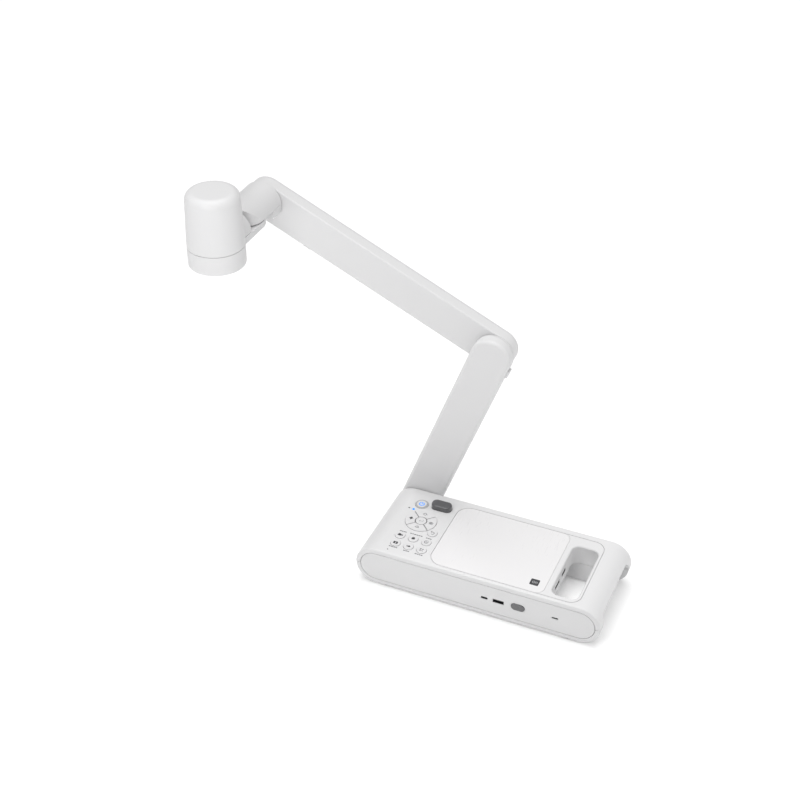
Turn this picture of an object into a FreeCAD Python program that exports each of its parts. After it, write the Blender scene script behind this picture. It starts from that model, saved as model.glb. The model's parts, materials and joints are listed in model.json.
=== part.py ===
import FreeCAD, Part
import math
import os

# Document camera: a long flat base with a control keypad and a carrying handle, a folding arm
# of two links behind the base, a tilting and swivelling wrist, and an upright camera head.
# Millimetres.  +X runs along the base to the handle, +Y to the back, +Z up.
# The origin is on the table under the middle of the base.

Vec = FreeCAD.Vector

# ---- base ----
BASE_LENGTH = 300.0
BASE_DEPTH = 125.0
BASE_HEIGHT = 50.8
FOOT_HEIGHT = 1.5
FOOT_RADIUS = 4.5
FOOT_FROM_END = 38.0  # from the foot's centre to the base's end
FOOT_INSET = 6.9  # from the foot's centre to the base's front or back
WALL = 2.5
SEAM = 0.3  # visible line between two mouldings
MID_SEAM = 0.5  # between the base's upper and lower shells
PANEL_GAP = 0.6  # round the side panels
EDGE_FILLET = 2.2
PANEL_INSET = 6.0  # rim around the side panels
PANEL_THICK = 2.5
LEDGE = 2.5  # the panels' seat, wide and thick
PLAY = 0.1  # axial play in the pivots
BORE_CLEAR = 0.05  # radial running clearance on shafts
PART_GAP = 0.4  # air around pieces that don't fit closely

# ---- handle ----
OPENING_FROM_END = 32.7  # from the base's right end
OPENING_WIDTH = 31.8
OPENING_FROM_FRONT = 11.5
OPENING_FROM_BACK = 24.5
OPENING_RADIUS = 9.0
BAY_REACH = 16.0  # from the opening's left wall to the plug bay's, under the sockets
GRIP_INSET = 12.5  # from the base's front and back to the finger space
GRIP_THICK = 14.0
GRIP_RADIUS = 9.0

# ---- top plates ----
INLAY_FROM_LEFT = 87.7  # from the base's left end
INLAY_FROM_RIGHT = 28.8
SPLIT_FROM_RIGHT = 72.0  # from the base's right end to the line between the plates
INLAY_FROM_FRONT = 4.5
INLAY_FROM_BACK = 9.0
INLAY_RADIUS_LEFT = 17.0
INLAY_RADIUS_RIGHT = 14.0
INLAY_SPLIT_RADIUS = 10.0
INLAY_THICK = 1.5
GROOVE = 0.7

# ---- keypad, its places from the middle of the direction keys ----
PAD_FROM_LEFT = 54.5  # from the base's left end
PAD_Y = 6.6
KEY_RADIUS = 5.9
KEY_GAP = 0.35
KEY_RISE = 0.9
KEY_TRAVEL = 0.8
KEY_FLANGE = 0.9
FLANGE_THICK = 1.2
STEM_RADIUS = 2.0
STEM_LENGTH = 1.2
POWER_PLACE = (-11.2, 29.6)
POWER_RADIUS = 6.3
RING_RADIUS = 8.3
LED_PLACE = (-17.0, 17.3)
LED_RADIUS = 1.7
PAD_RADIUS = 19.0
PAD_HUB_RADIUS = 6.5
PAD_SLOT = 0.9  # between the four direction keys
KEY_PLACES = {
    "zoom_key": (20.9, -15.9),
    "menu_key": (-12.7, -33.6),
    "freeze_key": (4.1, -33.6),
    "record_key": (20.6, -33.6),
    "lamp_key": (-12.2, -48.4),
    "rotate_key": (4.2, -48.4),
    "source_key": (20.8, -48.4),
}
BAR_PLACE = (13.5, 32.6)
BAR_LENGTH = 25.0
BAR_WIDTH = 13.5
BAR_RISE = 6.4
BAR_TRAVEL = 1.5
BOARD_THICK = 1.6
SWITCH_RADIUS = 2.5
SWITCH_HEIGHT = 1.6

# ---- front panel fittings, heights above the base's underside ----
OVAL_SOCKET_X = 11.9
OVAL_SOCKET_WIDTH = 8.6
OVAL_SOCKET_HEIGHT = 3.4
FLAT_SOCKET_X = 28.9
FLAT_SOCKET_WIDTH = 13.5
FLAT_SOCKET_HEIGHT = 5.2
PORT_Z = 25.6
WINDOW_X = 52.6
WINDOW_WIDTH = 17.2
WINDOW_HEIGHT = 10.2
MIC_FROM_OPENING = 11.4
MIC_WIDTH = 8.0
MIC_HEIGHT = 2.4
PORT_DEPTH = 14.0
SIDE_SOCKET_Y = 1.0
VIDEO_SOCKET_Y = -22.2
VIDEO_SOCKET_WIDTH = 15.7
VIDEO_SOCKET_HEIGHT = 4.6
SIDE_PORT_Z = 38.5

# ---- inner pieces of the base ----
BALLAST_THICK = 6.0
BRACKET_THICK = 5.0
BRACKET_RADIUS = 14.0

# ---- pivots ----
SHAFT_RADIUS = 6.0
SHOULDER_RADIUS = 10.0
SHOULDER_CLEAR = 0.6
WASHER_RADIUS = 11.0
WASHER_THICK = 1.4
NUT_RADIUS = 9.5
NUT_THICK = 2.2

# ---- arm ----
ARM_GAP = 0.8  # base to arm and arm to arm
LOWER_LENGTH = 252.0
LOWER_HALF = 24.0
LOWER_THICK = 16.3
LOWER_ANGLE = 69.9  # above +X
LOWER_FILLET = 4.0
UPPER_LENGTH = 317.4
UPPER_HALF = 22.8
UPPER_THICK = 17.6
UPPER_ANGLE = 155.19
UPPER_FILLET = 2.0
ARM_WALL = 2.5
LID_FILLET = 1.5
FRAME_HALF = 15.0
FRAME_THICK = 4.0
FRAME_FRONT = 6.5  # from an arm's front face to its frame
STOP_FROM_ELBOW = 10.0
BUMPER_FROM_WRIST = 69.0
BUMPER_LENGTH = 10.0

# ---- wrist and head, heights from the wrist axis ----
WRIST_RADIUS = 24.5
COVER_WALL = 2.2
COVER_LEVEL = 1.6
WRIST_FLOOR = -10.3
SWIVEL_Y = 35.0
SWIVEL_RADIUS = 24.2
SWIVEL_GAP = 0.7
WRIST_SHOULDER = 5.0
POST_RADIUS = 7.0
POST_CAP_RADIUS = 12.0
POST_CAP_THICK = 2.2
HEAD_Y = -29.0
HEAD_RADIUS = 32.2
HEAD_TAPER = 2.2  # how much narrower the head's top is than its ring
HEAD_TOP_RADIUS = HEAD_RADIUS - HEAD_TAPER
HEAD_BOTTOM = -22.8
HEAD_TOP = 64.4
HEAD_FILLET = 9.5
HEAD_WALL = 2.2
HEAD_SEAM = 0.6  # visible line round the head
LIP_THICK = 1.3
LIP_HEIGHT = 2.5
NECK_TOP = 0.2
NECK_BOTTOM = -6.9
STUB_RADIUS = 23.4
LENS_RADIUS = 12.0
LENS_LENGTH = 34.0
GLASS_RADIUS = 9.0
LAMP_RADIUS = 4.0
LAMP_OFFSET = 21.0

# ---- places worked out from the sizes above ----
TOP = FOOT_HEIGHT + BASE_HEIGHT
AXIS_Z = FOOT_HEIGHT + BASE_HEIGHT / 2
FRONT = -BASE_DEPTH / 2
BACK = BASE_DEPTH / 2
LEFT = -BASE_LENGTH / 2
RIGHT = BASE_LENGTH / 2
PIVOT_X = -(BASE_LENGTH - BASE_HEIGHT) / 2
LOWER_Y = BACK + ARM_GAP
UPPER_Y = LOWER_Y + LOWER_THICK + ARM_GAP
WRIST_BACK = UPPER_Y - ARM_GAP
CEILING = TOP - WALL
OPENING_RIGHT = RIGHT - OPENING_FROM_END
OPENING_LEFT = OPENING_RIGHT - OPENING_WIDTH
MIC_X = OPENING_LEFT + MIC_FROM_OPENING
OPENING_FRONT = FRONT + OPENING_FROM_FRONT
OPENING_BACK = BACK - OPENING_FROM_BACK
GRIP_HALF = BACK - GRIP_INSET
INLAY_LEFT = LEFT + INLAY_FROM_LEFT
INLAY_RIGHT = RIGHT - INLAY_FROM_RIGHT
INLAY_SPLIT = RIGHT - SPLIT_FROM_RIGHT
INLAY_FRONT = FRONT + INLAY_FROM_FRONT
INLAY_BACK = BACK - INLAY_FROM_BACK
PAD_X = LEFT + PAD_FROM_LEFT
POWER_X, POWER_Y = PAD_X + POWER_PLACE[0], PAD_Y + POWER_PLACE[1]
LED_X, LED_Y = PAD_X + LED_PLACE[0], PAD_Y + LED_PLACE[1]
BAR_X, BAR_Y = PAD_X + BAR_PLACE[0], PAD_Y + BAR_PLACE[1]
SMALL_KEYS = {name: (PAD_X + x, PAD_Y + y) for name, (x, y) in KEY_PLACES.items()}


def polar(x, z, length, angle):
    """The point at a length and an angle above +X from (x, z)."""
    a = math.radians(angle)
    return x + length * math.cos(a), z + length * math.sin(a)


ELBOW_X, ELBOW_Z = polar(PIVOT_X, AXIS_Z, LOWER_LENGTH, LOWER_ANGLE)
WRIST_X, WRIST_Z = polar(ELBOW_X, ELBOW_Z, UPPER_LENGTH, UPPER_ANGLE)


def save(name, shape):
    """Write one node, with its solids only."""
    solids = shape.Solids
    if not solids:
        raise ValueError(name + " has no solid")
    whole = solids[0] if len(solids) == 1 else Part.makeCompound(solids)
    whole.exportStep("parts/" + name + ".step")


def box(x0, x1, y0, y1, z0, z1):
    """A box between two corners."""
    return Part.makeBox(x1 - x0, y1 - y0, z1 - z0, Vec(x0, y0, z0))


def rod_y(x, z, radius, y0, y1):
    """A cylinder along Y."""
    return Part.makeCylinder(radius, y1 - y0, Vec(x, y0, z), Vec(0, 1, 0))


def rod_z(x, y, radius, z0, z1):
    """A cylinder along Z."""
    return Part.makeCylinder(radius, z1 - z0, Vec(x, y, z0))


def ring_y(x, z, radius, bore, y0, y1):
    """A washer along Y."""
    return rod_y(x, z, radius, y0, y1).cut(rod_y(x, z, bore, y0, y1))


def pill_y(x0, x1, z0, z1, y0, y1):
    """A prism along Y with fully round left and right ends."""
    r = (z1 - z0) / 2
    zm = (z0 + z1) / 2
    a, b = x0 + r, x1 - r
    low = Part.LineSegment(Vec(a, y0, z0), Vec(b, y0, z0)).toShape()
    right = Part.Arc(Vec(b, y0, z0), Vec(x1, y0, zm), Vec(b, y0, z1)).toShape()
    high = Part.LineSegment(Vec(b, y0, z1), Vec(a, y0, z1)).toShape()
    left = Part.Arc(Vec(a, y0, z1), Vec(x0, y0, zm), Vec(a, y0, z0)).toShape()
    wire = Part.Wire([low, right, high, left])
    return Part.Face(wire).extrude(Vec(0, y1 - y0, 0))


def plate_z(x0, x1, y0, y1, z0, z1, radii):
    """A plate with corner radii in the order front left, front right, back right, back left."""
    fl, fr, br, bl = radii
    k = 1 - math.sqrt(0.5)
    edges = [
        Part.LineSegment(Vec(x0 + fl, y0, z0), Vec(x1 - fr, y0, z0)).toShape(),
        Part.Arc(Vec(x1 - fr, y0, z0), Vec(x1 - fr * k, y0 + fr * k, z0), Vec(x1, y0 + fr, z0)).toShape(),
        Part.LineSegment(Vec(x1, y0 + fr, z0), Vec(x1, y1 - br, z0)).toShape(),
        Part.Arc(Vec(x1, y1 - br, z0), Vec(x1 - br * k, y1 - br * k, z0), Vec(x1 - br, y1, z0)).toShape(),
        Part.LineSegment(Vec(x1 - br, y1, z0), Vec(x0 + bl, y1, z0)).toShape(),
        Part.Arc(Vec(x0 + bl, y1, z0), Vec(x0 + bl * k, y1 - bl * k, z0), Vec(x0, y1 - bl, z0)).toShape(),
        Part.LineSegment(Vec(x0, y1 - bl, z0), Vec(x0, y0 + fl, z0)).toShape(),
        Part.Arc(Vec(x0, y0 + fl, z0), Vec(x0 + fl * k, y0 + fl * k, z0), Vec(x0 + fl, y0, z0)).toShape(),
    ]
    return Part.Face(Part.Wire(edges)).extrude(Vec(0, 0, z1 - z0))


def rim_edges(shape, y):
    """The edges that lie wholly at one Y."""
    found = []
    for edge in shape.Edges:
        bounds = edge.BoundBox
        if abs(bounds.YMin - y) < 1e-4 and abs(bounds.YMax - y) < 1e-4:
            found.append(edge)
    return found


def level_edges(shape, z):
    """The edges that lie wholly at one Z."""
    found = []
    for edge in shape.Edges:
        bounds = edge.BoundBox
        if abs(bounds.ZMin - z) < 1e-4 and abs(bounds.ZMax - z) < 1e-4:
            found.append(edge)
    return found


# ---- base shells ----


def base_outline(inset, y0, y1):
    """The base's long round-ended form, smaller by inset all round."""
    half = BASE_LENGTH / 2 - inset
    return pill_y(-half, half, FOOT_HEIGHT + inset, TOP - inset, y0, y1)


def opening(grow, z0, z1):
    """The handle's opening, larger by grow on every side."""
    radii = [OPENING_RADIUS + grow] * 4
    return plate_z(OPENING_LEFT - grow, OPENING_RIGHT + grow, OPENING_FRONT - grow,
                   OPENING_BACK + grow, z0, z1, radii)


def plug_bay(grow):
    """The wider room below the sockets for plugs and cables, its roof level with the mid seam."""
    radii = [OPENING_RADIUS + grow] * 4
    return plate_z(OPENING_LEFT - BAY_REACH - grow, OPENING_RIGHT + grow, OPENING_FRONT - grow,
                   OPENING_BACK + grow, FOOT_HEIGHT - 1, AXIS_Z + grow, radii)


def bay_left():
    """The inner side of the plug bay's left wall."""
    return OPENING_LEFT - BAY_REACH - WALL


def finger_space(grow):
    """The space under and beside the grip, round along its upper corners."""
    x0 = OPENING_RIGHT - grow - 1.0
    roof = TOP - GRIP_THICK + grow
    half = GRIP_HALF + grow
    block = box(x0, BASE_LENGTH / 2 + 5, -half, half, FOOT_HEIGHT - 1, roof)
    tops = [e for e in level_edges(block, roof) if e.BoundBox.XLength > 5]
    return block.makeFillet(GRIP_RADIUS + grow, tops)


def hollow_body():
    """Both base shells as one thin-walled body, with the side panels' seats open."""
    outer = base_outline(0, FRONT, BACK)
    outer = outer.makeFillet(EDGE_FILLET, rim_edges(outer, FRONT) + rim_edges(outer, BACK))
    outer = outer.cut(opening(0, FOOT_HEIGHT - 1, TOP + 1)).cut(finger_space(0)).cut(plug_bay(0))
    inner_front = FRONT + PANEL_THICK + LEDGE
    inner = base_outline(WALL, inner_front, -inner_front)
    inner = inner.cut(opening(WALL, FOOT_HEIGHT - 1, TOP + 1)).cut(finger_space(WALL)).cut(plug_bay(WALL))
    body = outer.cut(inner)
    seat = base_outline(PANEL_INSET, FRONT - 1, FRONT + PANEL_THICK)
    seat = seat.fuse(base_outline(PANEL_INSET, BACK - PANEL_THICK, BACK + 1))
    window = base_outline(PANEL_INSET + LEDGE, FRONT - 1, BACK + 1).common(inner_band())
    return body.cut(seat).cut(window)


def inner_band():
    """The two slabs where the panels' seats are open to the inside, left of the handle."""
    depth = PANEL_THICK + LEDGE + 0.5
    x1 = OPENING_LEFT - WALL - 2
    front = box(LEFT, x1, FRONT - 1, FRONT + depth, FOOT_HEIGHT, TOP)
    back = box(LEFT, x1, BACK - depth, BACK + 1, FOOT_HEIGHT, TOP)
    return front.fuse(back)


def inlay_outline(inset, z0, z1):
    """The recess in the top that holds the two top plates."""
    left = INLAY_RADIUS_LEFT - inset
    right = INLAY_RADIUS_RIGHT - inset
    return plate_z(INLAY_LEFT + inset, INLAY_RIGHT - inset, INLAY_FRONT + inset,
                   INLAY_BACK - inset, z0, z1, [left, right, right, left])


def key_holes():
    """Every hole that the keypad needs in the top."""
    low, high = CEILING - 1, TOP + 1
    holes = [rod_z(x, y, KEY_RADIUS + KEY_GAP, low, high) for x, y in SMALL_KEYS.values()]
    holes.append(rod_z(POWER_X, POWER_Y, RING_RADIUS + SEAM, low, high))
    holes.append(rod_z(PAD_X, PAD_Y, PAD_RADIUS + KEY_GAP, low, high))
    holes.append(rod_z(LED_X, LED_Y, LED_RADIUS, low, high))
    holes.append(bar_plate(KEY_GAP, low, high))
    return holes


def side_cuts():
    """The cuts in the handle's left wall for its two sockets."""
    z = FOOT_HEIGHT + SIDE_PORT_Z
    x0, x1 = OPENING_LEFT - WALL - 1, OPENING_LEFT + 1
    cuts = []
    sockets = [
        (SIDE_SOCKET_Y, FLAT_SOCKET_WIDTH, FLAT_SOCKET_HEIGHT),
        (VIDEO_SOCKET_Y, VIDEO_SOCKET_WIDTH, VIDEO_SOCKET_HEIGHT),
    ]
    for y, width, height in sockets:
        half, rise = width / 2, height / 2
        cuts.append(box(x0, x1, y - half, y + half, z - rise, z + rise))
    return cuts


def grip_pocket(inset, z0, z1):
    """The service hole under the grip."""
    y = GRIP_HALF - GRIP_RADIUS - 2 - inset
    x0 = OPENING_RIGHT + WALL + inset
    x1 = -PIVOT_X + BASE_HEIGHT / 2 - WALL - 5 - inset
    return box(x0, x1, -y, y, z0, z1)


def base_top_shell():
    """Upper moulding: top wall, handle and key holes."""
    body = hollow_body()
    half = BASE_LENGTH
    body = body.common(box(-half, half, FRONT, BACK, AXIS_Z + MID_SEAM / 2, TOP + 1))
    body = body.cut(inlay_outline(0, TOP - INLAY_THICK, TOP + 1))
    body = body.cut(Part.makeCompound(key_holes() + side_cuts()))
    roof = TOP - GRIP_THICK
    body = body.cut(grip_pocket(0, roof - 1, roof + WALL + 0.1))
    posts = [rod_z(x, y, STEM_RADIUS, key_board_top(), CEILING + 0.5) for x, y in board_posts()]
    return body.fuse(posts)


def screw_points():
    """Where the base's screws come up from below."""
    left = PIVOT_X + 3 * BRACKET_RADIUS + 5
    right = bay_left() - 5
    side = BACK - 10.5
    return [(x, y) for x in (left, 0.0, right) for y in (-side, side)]


def base_bottom_shell():
    """Lower moulding, with holes for its screws and pockets for the feet's stems."""
    body = hollow_body()
    half = BASE_LENGTH
    body = body.common(box(-half, half, FRONT, BACK, FOOT_HEIGHT - 1, AXIS_Z - MID_SEAM / 2))
    drills = [rod_z(x, y, 1.6, FOOT_HEIGHT - 1, FOOT_HEIGHT + WALL + 1) for x, y in screw_points()]
    sinks = [rod_z(x, y, 3.0, FOOT_HEIGHT - 1, FOOT_HEIGHT + 1.2) for x, y in screw_points()]
    return body.cut(Part.makeCompound(drills + sinks))


def base_screws():
    """Pan-head screws from below into the inner posts."""
    screws = []
    for x, y in screw_points():
        head = rod_z(x, y, 2.7, FOOT_HEIGHT + 0.2, FOOT_HEIGHT + 1.2)
        screws.append(head.fuse(rod_z(x, y, 1.5, FOOT_HEIGHT + 1.2, FOOT_HEIGHT + 9)))
    return Part.makeCompound(screws)


def rubber_feet():
    """One round foot near each corner and one under the middle."""
    y = BACK - FOOT_INSET
    places = [(0, 0)] + [(end, side) for end in (LEFT + FOOT_FROM_END, RIGHT - FOOT_FROM_END)
                         for side in (-y, y)]
    return Part.makeCompound([rod_z(x, y, FOOT_RADIUS, 0, FOOT_HEIGHT) for x, y in places])


def grip_cover():
    """The flush lid under the grip."""
    roof = TOP - GRIP_THICK
    return grip_pocket(SEAM, roof, roof + WALL)


# ---- side panels ----


def side_panel(y0, y1):
    """A flush round-ended plate in the base's front or back."""
    return base_outline(PANEL_INSET + PANEL_GAP, y0, y1)


def slot_y(x, z, width, height, y0, y1):
    """A rounded slot through the front panel."""
    return pill_y(x - width / 2, x + width / 2, z - height / 2, z + height / 2, y0, y1)


def front_side_panel():
    """Front plate with its two sockets, window and microphone slot."""
    panel = side_panel(FRONT, FRONT + PANEL_THICK)
    y0, y1 = FRONT - 1, FRONT + PANEL_THICK + 1
    z = FOOT_HEIGHT + PORT_Z
    half, rise = FLAT_SOCKET_WIDTH / 2, FLAT_SOCKET_HEIGHT / 2
    cuts = [
        slot_y(OVAL_SOCKET_X, z, OVAL_SOCKET_WIDTH, OVAL_SOCKET_HEIGHT, y0, y1),
        box(FLAT_SOCKET_X - half, FLAT_SOCKET_X + half, y0, y1, z - rise, z + rise),
        slot_y(WINDOW_X, z, WINDOW_WIDTH, WINDOW_HEIGHT, y0, y1),
        slot_y(MIC_X, z, MIC_WIDTH, MIC_HEIGHT, y0, y1),
    ]
    return panel.cut(Part.makeCompound(cuts))


def rear_side_panel():
    """Back plate with the hole for the arm's pivot."""
    panel = side_panel(BACK - PANEL_THICK, BACK)
    return panel.cut(rod_y(PIVOT_X, AXIS_Z, SHOULDER_RADIUS + SHOULDER_CLEAR, BACK - 5, BACK + 1))


# ---- top plates ----


def inlay_panel():
    """The wide glossy plate on the top."""
    low = TOP - INLAY_THICK
    plate = inlay_outline(GROOVE, low, TOP)
    radii = [1, INLAY_SPLIT_RADIUS, INLAY_SPLIT_RADIUS, 1]
    keep = plate_z(INLAY_LEFT - 5, INLAY_SPLIT, INLAY_FRONT + GROOVE, INLAY_BACK - GROOVE,
                   low, TOP, radii)
    return plate.common(keep)


def handle_surround():
    """The matte plate round the handle's opening, with a bevelled inner edge."""
    low = TOP - INLAY_THICK
    plate = inlay_outline(GROOVE, low, TOP)
    radii = [1, INLAY_SPLIT_RADIUS + SEAM, INLAY_SPLIT_RADIUS + SEAM, 1]
    other = plate_z(INLAY_LEFT - 5, INLAY_SPLIT + SEAM, INLAY_FRONT + GROOVE - SEAM,
                    INLAY_BACK - GROOVE + SEAM, low - 1, TOP + 1, radii)
    plate = plate.cut(other).cut(opening(0, low - 1, TOP + 1))
    inner = [e for e in level_edges(plate, TOP)
             if e.BoundBox.XMin > OPENING_LEFT - 0.5 and e.BoundBox.XMax < OPENING_RIGHT + 0.5
             and e.BoundBox.YMin > OPENING_FRONT - 0.5 and e.BoundBox.YMax < OPENING_BACK + 0.5]
    return plate.makeChamfer(1.0, inner)


# ---- keypad ----


def flange_top():
    """The top of each key's hidden flange, just under the top wall."""
    return CEILING - 0.2


def key_bottom():
    """The lower end of a small key's stem."""
    return flange_top() - FLANGE_THICK - STEM_LENGTH


def key_board_top():
    """The keypad board's upper face, below the switches."""
    return key_bottom() - KEY_TRAVEL - PLAY - SWITCH_HEIGHT


def round_key(x, y, radius, rise):
    """A round push key with a retaining flange and a stem."""
    cap = rod_z(x, y, radius, flange_top(), TOP + rise)
    cap = cap.makeFillet(0.5, level_edges(cap, TOP + rise))
    flange = rod_z(x, y, radius + KEY_FLANGE, flange_top() - FLANGE_THICK, flange_top())
    stem = rod_z(x, y, STEM_RADIUS, key_bottom(), flange_top())
    return cap.fuse([flange, stem]).removeSplitter()


def power_ring():
    """The fixed light ring round the power key."""
    outer = rod_z(POWER_X, POWER_Y, RING_RADIUS, CEILING, TOP + 0.3)
    return outer.cut(rod_z(POWER_X, POWER_Y, POWER_RADIUS + KEY_GAP, CEILING - 1, TOP + 1))


def sector(inner, outer, z0, z1, turn, slot):
    """A quarter of a ring between two diagonal slots, facing the direction turn."""
    ring = rod_z(PAD_X, PAD_Y, outer, z0, z1).cut(rod_z(PAD_X, PAD_Y, inner, z0, z1))
    size = outer * 2
    edge = slot / math.sqrt(2)
    points = [Vec(edge, 0, z0), Vec(edge + size, size, z0), Vec(edge + size, -size, z0)]
    wedge = Part.Face(Part.makePolygon(points + points[:1])).extrude(Vec(0, 0, z1 - z0))
    wedge.rotate(Vec(0, 0, 0), Vec(0, 0, 1), turn)
    wedge.translate(Vec(PAD_X, PAD_Y, 0))
    return ring.common(wedge)


def direction_key(turn):
    """One of the four direction keys."""
    inner = PAD_HUB_RADIUS + PAD_SLOT
    cap = sector(inner, PAD_RADIUS, flange_top(), TOP + KEY_RISE, turn, PAD_SLOT)
    cap = cap.makeFillet(0.4, level_edges(cap, TOP + KEY_RISE))
    low = flange_top() - FLANGE_THICK
    flange = sector(inner, PAD_RADIUS + KEY_FLANGE, low, flange_top(), turn, PAD_SLOT)
    x, y = SMALL_KEYS["zoom_key"]
    flange = flange.cut(rod_z(x, y, KEY_RADIUS + KEY_FLANGE + PART_GAP, low - 1, flange_top() + 1))
    reach = (PAD_HUB_RADIUS + PAD_RADIUS) / 2
    a = math.radians(turn)
    stem = rod_z(PAD_X + reach * math.cos(a), PAD_Y + reach * math.sin(a), STEM_RADIUS,
                 key_bottom(), flange_top())
    return cap.fuse([flange, stem]).removeSplitter()


def centre_key():
    """The round key in the middle of the direction keys."""
    cap = rod_z(PAD_X, PAD_Y, PAD_HUB_RADIUS, flange_top() - FLANGE_THICK, TOP + KEY_RISE)
    cap = cap.makeFillet(0.5, level_edges(cap, TOP + KEY_RISE))
    stem = rod_z(PAD_X, PAD_Y, STEM_RADIUS, key_bottom(), flange_top())
    return cap.fuse(stem).removeSplitter()


def bar_plate(grow, z0, z1):
    """The wide key's round-ended outline, larger by grow."""
    half, side = BAR_LENGTH / 2 + grow, BAR_WIDTH / 2 + grow
    radius = side - 0.8
    return plate_z(BAR_X - half, BAR_X + half, BAR_Y - side, BAR_Y + side, z0, z1, [radius] * 4)


def bar_key():
    """The wide raised key beside the power key."""
    cap = bar_plate(0, flange_top(), TOP + BAR_RISE)
    cap = cap.makeFillet(1.5, level_edges(cap, TOP + BAR_RISE))
    flange = bar_plate(KEY_FLANGE, flange_top() - FLANGE_THICK, flange_top())
    low = key_bottom() + BAR_TRAVEL - KEY_TRAVEL
    stem = rod_z(BAR_X, BAR_Y, STEM_RADIUS, low, flange_top())
    return cap.fuse([flange, stem]).removeSplitter()


def status_light():
    """The small lamp beside the power key."""
    return rod_z(LED_X, LED_Y, LED_RADIUS - 0.1, key_board_top(), TOP + 0.2)


def keypad_lights():
    """The light ring and the status lamp, clear pieces of the same kind."""
    return Part.makeCompound([power_ring(), status_light()])


def key_points():
    """Every place that needs a switch."""
    reach = (PAD_HUB_RADIUS + PAD_RADIUS) / 2
    points = list(SMALL_KEYS.values())
    points += [(POWER_X, POWER_Y), (BAR_X, BAR_Y), (PAD_X, PAD_Y)]
    points += [(PAD_X + sx * reach, PAD_Y + sy * reach) for sx, sy in ((1, 0), (0, 1), (-1, 0), (0, -1))]
    return points


def board_posts():
    """Where the keypad board hangs from the top."""
    left = PAD_X - PAD_RADIUS - 5.5
    right = BAR_X + BAR_LENGTH / 2 + 4.5
    back = BAR_Y + BAR_WIDTH / 2 + 5.5
    front = FRONT + 11.5
    return [(left, back), (left, front), (right, back), (right, front)]


def keypad_board():
    """Circuit board with one switch under each key."""
    (x0, y1), (_, y0), (x1, _), _ = board_posts()
    high = key_board_top()
    board = box(x0 - 2.5, x1 + 2.5, y0 - 2.5, y1 + 2.5, high - BOARD_THICK, high)
    tops = [rod_z(x, y, SWITCH_RADIUS, high, high + SWITCH_HEIGHT) for x, y in key_points()]
    return board.fuse(tops)


# ---- sockets and boards ----


def front_board():
    """Circuit board behind the front sockets."""
    high = FOOT_HEIGHT + PORT_Z - 3.6
    y0 = FRONT + PANEL_THICK + LEDGE + 1
    x0, x1 = OVAL_SOCKET_X - 32, bay_left() - 3
    return box(x0, x1, y0, y0 + 60, high - BOARD_THICK, high)


def front_socket(x, width, height):
    """A plain metal socket shell with a tongue, open to the front."""
    y0 = FRONT + 0.3
    y1 = y0 + PORT_DEPTH
    z = FOOT_HEIGHT + PORT_Z
    return x, width - 2 * SEAM, height - 2 * SEAM, y0, y1, z


def flat_socket():
    """The wide flat socket: a rectangular shell, its tongue, and a foot on the board."""
    x, width, height, y0, y1, z = front_socket(FLAT_SOCKET_X, FLAT_SOCKET_WIDTH, FLAT_SOCKET_HEIGHT)
    half, rise = width / 2, height / 2
    shell = box(x - half, x + half, y0, y1, z - rise, z + rise)
    shell = shell.cut(box(x - half + 0.4, x + half - 0.4, y0 - 1, y1 - 1, z - rise + 0.4, z + rise - 0.4))
    tongue = box(x - half + 1, x + half - 1, y0 + 0.8, y1 - 0.5, z + 0.3, z + rise - 0.8)
    return shell.fuse([tongue, socket_foot(x, half, y1, z - rise)])


def socket_foot(x, half, y1, z):
    """The block that carries a front socket on its board."""
    return box(x - half, x + half, y1 - 8, y1, FOOT_HEIGHT + PORT_Z - 3.6, z + 0.2)


def oval_socket():
    """The small oval socket: an oval shell, its tongue, and a foot on the board."""
    x, width, height, y0, y1, z = front_socket(OVAL_SOCKET_X, OVAL_SOCKET_WIDTH, OVAL_SOCKET_HEIGHT)
    shell = slot_y(x, z, width, height, y0, y1)
    shell = shell.cut(slot_y(x, z, width - 0.6, height - 0.6, y0 - 1, y1 - 1))
    tongue = box(x - width / 2 + 1.2, x + width / 2 - 1.2, y0 + 0.6, y1 - 0.5, z - 0.3, z + 0.3)
    return shell.fuse([tongue, socket_foot(x, width / 2 - 1, y1, z - height / 2)])


def front_sockets():
    """Both sockets of the front panel."""
    return Part.makeCompound([flat_socket(), oval_socket()])


def side_board():
    """Circuit board behind the handle's sockets."""
    high = FOOT_HEIGHT + SIDE_PORT_Z - 3.4
    x1 = OPENING_LEFT - WALL - 1
    return box(x1 - 42, x1, VIDEO_SOCKET_Y - 14, SIDE_SOCKET_Y + 13, high - BOARD_THICK, high)


def side_socket(y, width, height):
    """A socket in the handle's left wall, open to +X."""
    z = FOOT_HEIGHT + SIDE_PORT_Z
    x1 = OPENING_LEFT - 0.2
    half, rise = width / 2 - SEAM, height / 2 - SEAM
    shell = box(x1 - PORT_DEPTH, x1, y - half, y + half, z - rise, z + rise)
    shell = shell.cut(box(x1 - PORT_DEPTH + 1, x1 + 1, y - half + 0.4, y + half - 0.4,
                          z - rise + 0.4, z + rise - 0.4))
    tongue = box(x1 - PORT_DEPTH + 0.5, x1 - 0.8, y - half + 1, y + half - 1, z - 0.3, z + 0.3)
    foot = box(x1 - PORT_DEPTH, x1 - 6, y - half, y + half, FOOT_HEIGHT + SIDE_PORT_Z - 3.4, z - rise + 0.2)
    return shell.fuse([tongue, foot])


def side_sockets():
    """Both sockets of the handle's left wall."""
    small = side_socket(SIDE_SOCKET_Y, FLAT_SOCKET_WIDTH, FLAT_SOCKET_HEIGHT)
    wide = side_socket(VIDEO_SOCKET_Y, VIDEO_SOCKET_WIDTH, VIDEO_SOCKET_HEIGHT)
    return Part.makeCompound([small, wide])


def socket_boards():
    """The two circuit boards that carry the sockets."""
    return Part.makeCompound([front_board(), side_board()])


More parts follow.
